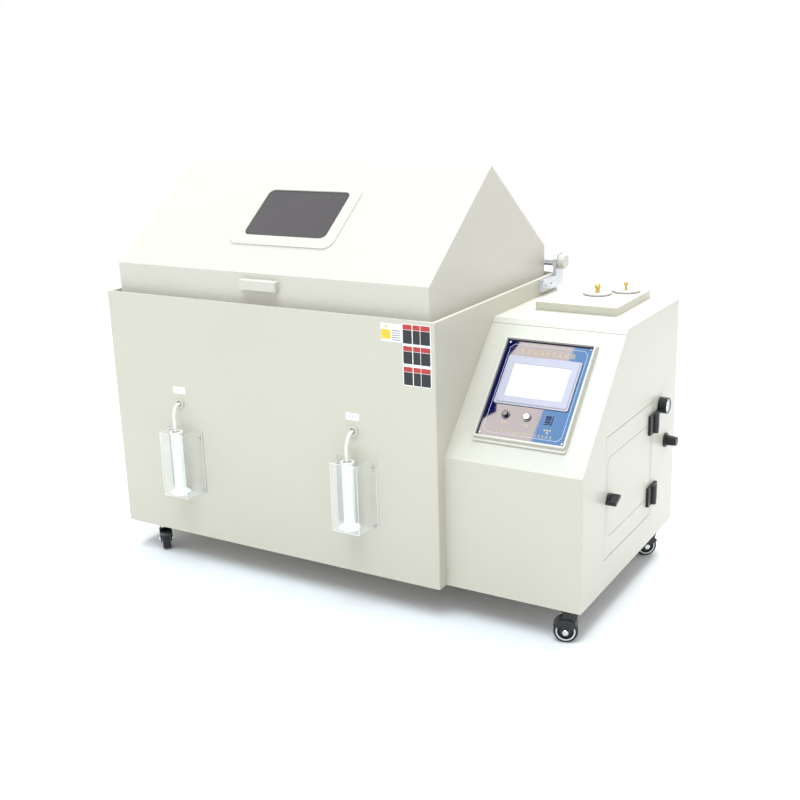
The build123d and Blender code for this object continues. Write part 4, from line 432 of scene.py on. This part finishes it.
def islands(mesh):
    """The points of each separate piece of a mesh."""
    build = bmesh.new()
    build.from_mesh(mesh)
    bmesh.ops.remove_doubles(build, verts=build.verts, dist=1e-5)
    found, reached = [], set()
    for start in build.verts:
        if start in reached:
            continue
        reached.add(start)
        stack, points = [start], []
        while stack:
            vertex = stack.pop()
            points.append(vertex.co.copy())
            for link in vertex.link_edges:
                other = link.other_vert(vertex)
                if other not in reached:
                    reached.add(other)
                    stack.append(other)
        found.append(points)
    build.free()
    return found


# Machine screws where the CAD node has its plain heads: pockets, plate corners and bracket feet
head_high = 3.5 * MM
screw_spots = []
for points in islands(frame["nodes"]["screws"].data):
    middle = sum(points, Vector()) / len(points)
    extent = [max(p[i] for p in points) - min(p[i] for p in points) for i in range(3)]
    if extent[1] < head_high:
        out, across = -BACK, RIGHT
    elif extent[0] < head_high:
        out, across = (RIGHT if middle.x > 0 else -RIGHT), BACK
    else:
        out, across = slope_out, RIGHT
    seat = middle - out * (max((p - middle).dot(out) for p in points))
    screw_spots.append((seat, across, out))
machine_screws = repeated("machine_screws", screw_mesh, screw_spots, "machine", finishes["stainless"])
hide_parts("screws")

# Fog collectors on the tank's front: how far across each port and its cylinder stand
ports = {"left": 250, "right": 855}
cylinders = {"left": 254, "right": 853}
port_z = 411
cylinder_y = -32
cylinder_foot_z = 144
hose_end_z = 300
hose_radius = 4.75

# Hoses from the ports into the cylinders, in place of the plain CAD solid
for side, port_x in ports.items():
    mouth_x = cylinders[side]
    curve = bpy.data.curves.new("collector_hose_" + side, "CURVE")
    curve.dimensions = "3D"
    curve.bevel_depth = hose_radius * MM
    curve.bevel_resolution = 6
    curve.resolution_u = 10
    curve.use_fill_caps = True
    line = curve.splines.new("NURBS")
    route = [(port_x, 4, port_z), (port_x, -16, port_z), (port_x + 1, -29, port_z - 13),
             (mouth_x - 1, -34, port_z - 37), (mouth_x, -33, port_z - 69), (mouth_x, cylinder_y, hose_end_z)]
    line.points.add(len(route) - 1)
    for point, stop in zip(line.points, route):
        point.co = (*spot(*stop), 1)
    line.order_u = 3
    line.use_endpoint_u = True
    hose = linked("collector_hose_" + side, curve)
    curve.materials.append(finishes["hose_silicone"])
    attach(hose, "machine")
    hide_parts("collector_hoses")

# Graduations round the front of each measuring cylinder, from 32 mm above its foot
mark_low, mark_pitch, mark_count = 32, 5.6, 25
mark_half = 0.3
mark_outer, mark_inner = 16.25, 15.9
mark_turns = {"start": -120, "step": 5, "count": 9}
mark_outline = arc(mark_outer, **mark_turns) + arc(mark_inner, **mark_turns)[::-1]
for side, mouth_x in cylinders.items():
    foot_at = spot(mouth_x, cylinder_y, cylinder_foot_z)
    mark = finished_mesh("graduation_" + side, slab(mark_outline, -mark_half, mark_half, metre))
    marks = [(foot_at + UP * (mark_low + mark_pitch * k) * MM, RIGHT, UP) for k in range(mark_count)]
    repeated("graduations_" + side, mark, marks, "machine", label_grey)

# Small sign plates above the ports, with plain marks
sign_foot, sign_head, sign_corner, sign_thick = 441, 461, 2, 1.0
sign_mark = (0, 3, 449, 453)
sign_inset, sign_pitch = 10, 9
for side, x_low, x_high in (("left", 230, 274), ("right", 834, 876)):
    outline = rectangle(x_low, x_high, sign_foot, sign_head, sign_corner)
    new_piece("port_sign_" + side, slab(outline, sunk, sign_thick, front), "machine", label_and_highlight_white)
    sign_marks = row([sign_mark], x_low + sign_inset, sign_pitch, 3)
    new_piece("port_sign_marks_" + side, slabs(sign_marks, sign_thick - 0.1, sign_thick + 0.15, front),
              "machine", label_grey)

# Painted highlights: opaque white strips along the polished edges of the two clear pockets, where the edges catch
# the light
highlight_wide = 1.1
pocket_half = 42.5
flange_back, flange_front = 1, 3
for side in ("left", "right"):
    low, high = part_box("holder_" + side)
    middle = ((low.x + high.x) / 2 - tank_low.x) / MM
    foot, head = (low.z - tank_low.z) / MM, (high.z - tank_low.z) / MM
    depth = (tank_low.y - low.y) / MM
    face = depth - highlight_wide
    flange_half = (high.x - low.x) / MM / 2
    left, right = middle - pocket_half, middle + pocket_half
    edges = []
    for x in (left, right - highlight_wide):
        ends = [rectangle(x, x + highlight_wide, z, z + highlight_wide) for z in (foot, head - highlight_wide)]
        upright = rectangle(x, x + highlight_wide, foot + highlight_wide, head - highlight_wide)
        edges += [slabs(ends, flange_front, depth, front), slab(upright, face, depth, front)]
    for z in (foot, head - highlight_wide):
        level = rectangle(left + highlight_wide, right - highlight_wide, z, z + highlight_wide)
        edges.append(slab(level, face, depth, front))
    for x in (middle - flange_half, middle + flange_half - highlight_wide):
        edges.append(slab(rectangle(x, x + highlight_wide, foot, head), flange_back, flange_front, front))
    # The strips take the white label finish, so the highlight is painted on
    new_piece("pocket_edges_" + side, merged(*edges), "machine", label_and_highlight_white)

# Plain colour blocks where the photograph has stickers: each cell has a red heading over a dark block
base_thick = 0.25
block_low, block_high = 0.2, 0.35
heading_high, heading_gap = 13, 1
cells = [(*column, *line) for column in ((1018, 1044.5), (1047, 1068), (1069.5, 1097))
         for line in ((668, 717.5), (615, 661.5), (559, 607))]
bases = [rectangle(1016, 1099, 557, 719, 1), rectangle(953, 1014, 669, 716, 1)]
dark_blocks = [rectangle(a, b, c, d - heading_high - heading_gap) for a, b, c, d in cells]
red_blocks = [rectangle(a, b, d - heading_high, d) for a, b, c, d in cells]
yellow_blocks = [rectangle(953.5, 982, 675, 700), rectangle(965, 972, 705, 711)]
bars = [rectangle(986, 1010, 673 + 6 * k, 676 + 6 * k) for k in range(5)]
for name, blocks, low, high, finish in (
        ("sticker_base", bases, sunk, base_thick, label_and_highlight_white),
        ("sticker_blocks_dark", dark_blocks, block_low, block_high, label_black),
        ("sticker_blocks_red", red_blocks, block_low, block_high, label_red),
        ("sticker_blocks_yellow", yellow_blocks, block_low, block_high, label_yellow),
        ("sticker_bars", bars, block_low, block_high, label_grey)):
    sticker = new_piece(name, slabs(blocks, low, high, front), "machine", finish)
    sticker.visible_glossy = False

# Printing on the control plate: a border line, title bars and small bars under the controls
plate_height = 6.0
print_low, print_high = plate_height - 0.05, plate_height + 0.12
corner_cut = 11
border_outer = clipped(110, 88, 353, corner_cut)
border_inner = clipped(109, 89, 352, corner_cut - 0.4)
new_piece("plate_border", ring(border_outer, border_inner, print_low, print_high, slope), "machine",
          print_silver)
title_glyph = [(0, 12, 337, 338.6), (1, 11, 332.4, 333.8), (0, 12, 327, 328.6), (2, 3.6, 328.6, 337),
               (8.4, 10, 328.6, 337)]
new_piece("plate_title", slabs(row(title_glyph, -76, 17.7, 9), print_low, print_high, slope), "machine",
          print_gold)
footer_glyph = [(0, 6.5, 98, 99.2), (0, 6.5, 93, 94.2), (2.6, 3.8, 94.2, 98)]
small = row([(0, 5, 119, 123)], -64, 7, 3) + row([(0, 4, 119, 123)], -4, 6, 3)
small += row([(0, 5, 113, 117)], 56, 7, 3) + [rectangle(64, 70, 106, 110)]
small += row(footer_glyph, -81, 10.5, 16)
new_piece("plate_bars", slabs(small, print_low, print_high, slope), "machine", print_gold)

# Gauge face: ticks over three quarters of the dial, each fifth one further in, and a needle
tick_count, tick_start, tick_sweep = 41, 225, 270
tick_radius, long_tick_radius = 16.2, 15.2
dial_low, dial_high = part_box("gauge_dial")
dial_middle = Vector((dial_high.x, (dial_low.y + dial_high.y) / 2, (dial_low.z + dial_high.z) / 2))
tick = finished_mesh("gauge_tick", slab(rectangle(-1.6, 1.6, -0.25, 0.25), sunk, 0.2, metre))
ticks = []
for k in range(tick_count):
    turn = radians(tick_start - k * tick_sweep / (tick_count - 1))
    along = BACK * cos(turn) + UP * sin(turn)
    ticks.append((dial_middle + along * (tick_radius if k % 5 else long_tick_radius) * MM, along, RIGHT))
repeated("gauge_ticks", tick, ticks, "machine", label_black)
needle_turn = radians(150)
needle_length, needle_tail, needle_half = 14, 4, 0.9
tip = Vector((cos(needle_turn), sin(needle_turn)))
wide = Vector((-tip.y, tip.x))
needle = [tuple(tip * needle_length), tuple(wide * needle_half - tip * needle_tail),
          tuple(-wide * needle_half - tip * needle_tail)]
hub = [(0, sunk), (2.4, sunk), (2.4, 1.9), (1.6, 2.4), (0, 2.5)]
dial = place(dial_middle, BACK, UP, RIGHT)
new_piece("gauge_needle", merged(slab(needle, 1.2, 1.7, dial), turned(hub, dial, 24)), "machine", label_black)

# Dark rubber gaskets round the foot of the two flanges of the service cover, which are also painted shade: they
# draw the shadow line under each flange
gasket_and_shade_profile = [(30, -0.2), (41, -0.2), (41, 1.1), (30, 1.1)]
cover_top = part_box("service_cover")[1].z
gasket_and_shade_rings = []
for fitting in ("relief_valve", "filler_plug"):
    low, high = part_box(fitting)
    middle = (low + high) / 2
    seat = place(Vector((middle.x, middle.y, cover_top)), RIGHT, BACK, UP)
    gasket_and_shade_rings.append(turned(gasket_and_shade_profile, seat, 64))
new_piece("flange_gaskets", merged(*gasket_and_shade_rings), "cover", gasket_and_shade_dark)


def half_width(node, centre, axle):
    """How far in mm a node reaches along the axle from the middle of its wheel."""
    return max(abs((vertex.co - centre).dot(axle)) for vertex in node.data.vertices) / MM


# Casters: a white rim on each side of the wheel, a bright cap over each axle end, and the fork's hood
hood_radius, hood_inner, hood_foot = 35.5, 33.4, 19.5
hood_start, hood_end = radians(28), radians(152)
for joint in frame["joints"]:
    if not joint["name"].startswith("caster_roll_"):
        continue
    name = joint["name"][len("caster_roll_"):]
    axle = Vector(joint["axis"]).normalized()
    low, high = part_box("caster_wheel_" + name)
    centre = (low + high) / 2
    about = place(centre, UP.cross(axle).normalized(), UP, axle)
    half = half_width(frame["nodes"]["caster_wheel_" + name], centre, axle)
    rim = [(21.5, half - 1.0), (25.5, half - 1.0), (25.2, half + 0.7), (21.9, half + 0.7)]
    new_piece("wheel_rim_" + name, both_ways(rim, about), "wheel_" + name, wheel_white)
    reach = half_width(frame["nodes"]["caster_fork_" + name], centre, axle)
    cap = [(0, reach - 4.3), (7.8, reach - 4.3), (7.8, reach - 0.8), (6.6, reach + 0.4), (0, reach + 0.7)]
    new_piece("axle_caps_" + name, both_ways(cap, about), "fork_" + name, finishes["chrome_trim"])
    leg = reach - 4
    outside, inside = leg + 1.2, leg - 0.4
    cover = [(hood_radius, -outside), (hood_radius, outside), (hood_foot, outside), (hood_foot, inside),
             (hood_inner, inside), (hood_inner, -inside), (hood_foot, -inside), (hood_foot, -outside)]
    new_piece("fork_hood_" + name, hood(cover, about, hood_start, hood_end), "fork_" + name,
              finishes["caster_steel"])

# Studio floor: a pale round sheet, its radius in metres
floor_radius = 5
floor_sides = 72
floor_edge = [(x, y, 0) for x, y in arc(floor_radius, 0, 360 / floor_sides, floor_sides)]
floor_mesh = bpy.data.meshes.new("studio_floor")
floor_mesh.from_pydata(floor_edge, [], [tuple(range(len(floor_edge)))])
floor_mesh.materials.append(moulded(
    "studio_paper", "EAEAEA", "E8E8E9", patch=2.0, grain=0.01, relief=0.0, roughness=0.9, spread=0.02,
    sockets={"Specular IOR Level": 0.0}))
floor = bpy.data.objects.new("studio_floor", floor_mesh)


def soft_box(name, way, distance, size, power, colour):
    """A large square light that shines from a direction onto the machine."""
    light = bpy.data.lights.new(name, "AREA")
    light.shape = "SQUARE"
    light.size = size
    light.energy = power
    light.color = colour
    lamp = bpy.data.objects.new(name, light)
    lamp.visible_camera = False
    way = Vector(way).normalized()
    turn = way.to_track_quat("Z", "Y").to_matrix().to_4x4()
    lamp.matrix_world = Matrix.Translation(way * distance) @ turn
    return lamp


lamps = [soft_box("soft_box_rear", (0, 0.58, 0.815), distance=8.0, size=5.0, power=820.0,
                  colour=(0.92, 0.97, 1.0)),
         soft_box("soft_box_front", (0.05, -0.35, 0.93), distance=7.0, size=4.0, power=310.0,
                  colour=(0.76, 0.92, 1.0))]


def card(name, corners, glow):
    """A flat card that glows, which the camera doesn't see and which mirror-like faces reflect."""
    mesh = bpy.data.meshes.new(name)
    mesh.from_pydata([tuple(spot(*corner)) for corner in corners], [], [tuple(range(len(corners)))])
    material = bpy.data.materials.new(name)
    material.use_nodes = True
    material.node_tree.nodes.clear()
    shine = add(material.node_tree, "ShaderNodeEmission", {"Color": (*glow, 1.0), "Strength": 1.0})
    add(material.node_tree, "ShaderNodeOutputMaterial", {"Surface": shine.outputs[0]})
    mesh.materials.append(material)
    board = bpy.data.objects.new(name, mesh)
    board.visible_camera = False
    board.visible_diffuse = False
    board.visible_shadow = False
    board.visible_transmission = False
    board.visible_volume_scatter = False
    return board


# Cards over the machine that only mirror-like faces see: what the control plate reflects in the photograph
card_height = 2400
left_edge = [(430, -215), (387, -268), (366, -304), (330, -345), (257, -591), (254, -626), (206, -655),
             (171, -680), (120, -708), (20, -770)]
blue_edge = [(672, -215), (643, -271), (619, -333), (490, -585), (433, -730), (418, -770)]
cards = []
for name, outline, glow in (
        ("card_beige", left_edge + blue_edge[::-1], (12.4, 11.0, 9.8)),
        ("card_blue", blue_edge + [(760, -800), (900, -700), (900, -215)], (3.4, 6.6, 11.2)),
        ("card_dark", left_edge + [(-60, -770), (-60, -215)], (0.02, 0.02, 0.5))):
    cards.append(card(name, [(x, y, card_height) for x, y in outline], glow))

# A slightly grey card on the right keeps the cabinet's side a little darker than its slope
shade_x, shade_front, shade_back, shade_foot, shade_head = 3000, -1200, 3000, -90, 900
shade = card("shade_right", [(shade_x, shade_front, shade_foot), (shade_x, shade_back, shade_foot),
                             (shade_x, shade_back, shade_head), (shade_x, shade_front, shade_head)],
             (0.62, 0.63, 0.68))
shade.visible_diffuse = True
shade.visible_glossy = False
for each in [floor, *lamps, *cards, shade]:
    bpy.context.scene.collection.objects.link(each)

# Bright even room
world = bpy.data.worlds.new("studio")
world.use_nodes = True
world.node_tree.nodes.clear()
sky = add(world.node_tree, "ShaderNodeBackground", {"Color": (1.0, 1.0, 1.0, 1.0), "Strength": 1.0})
add(world.node_tree, "ShaderNodeOutputWorld", {"Surface": sky.outputs[0]})
scene = bpy.context.scene
scene.world = world
scene.view_settings.view_transform = "Standard"

# Camera as fitted to the photograph
yaw, pitch, roll = radians(-31.10978), radians(16.47348), radians(-1.75223)
camera_at = (1.71805, -2.8006, 1.4436)
focal_length = 51.477
film_width = 36.0
ahead = Vector((sin(yaw) * cos(pitch), cos(yaw) * cos(pitch), -sin(pitch)))
level = Vector((cos(yaw), -sin(yaw), 0))
above = level.cross(ahead)
camera_right = level * cos(roll) + above * sin(roll)
camera_up = above * cos(roll) - level * sin(roll)
camera_data = bpy.data.cameras.new("photo_camera")
camera_data.lens = focal_length
camera_data.sensor_width = film_width
camera = linked("photo_camera", camera_data)
camera_turn = Matrix((camera_right, camera_up, -ahead)).transposed().to_4x4()
camera.matrix_world = Matrix.Translation(camera_at) @ camera_turn
scene.camera = camera
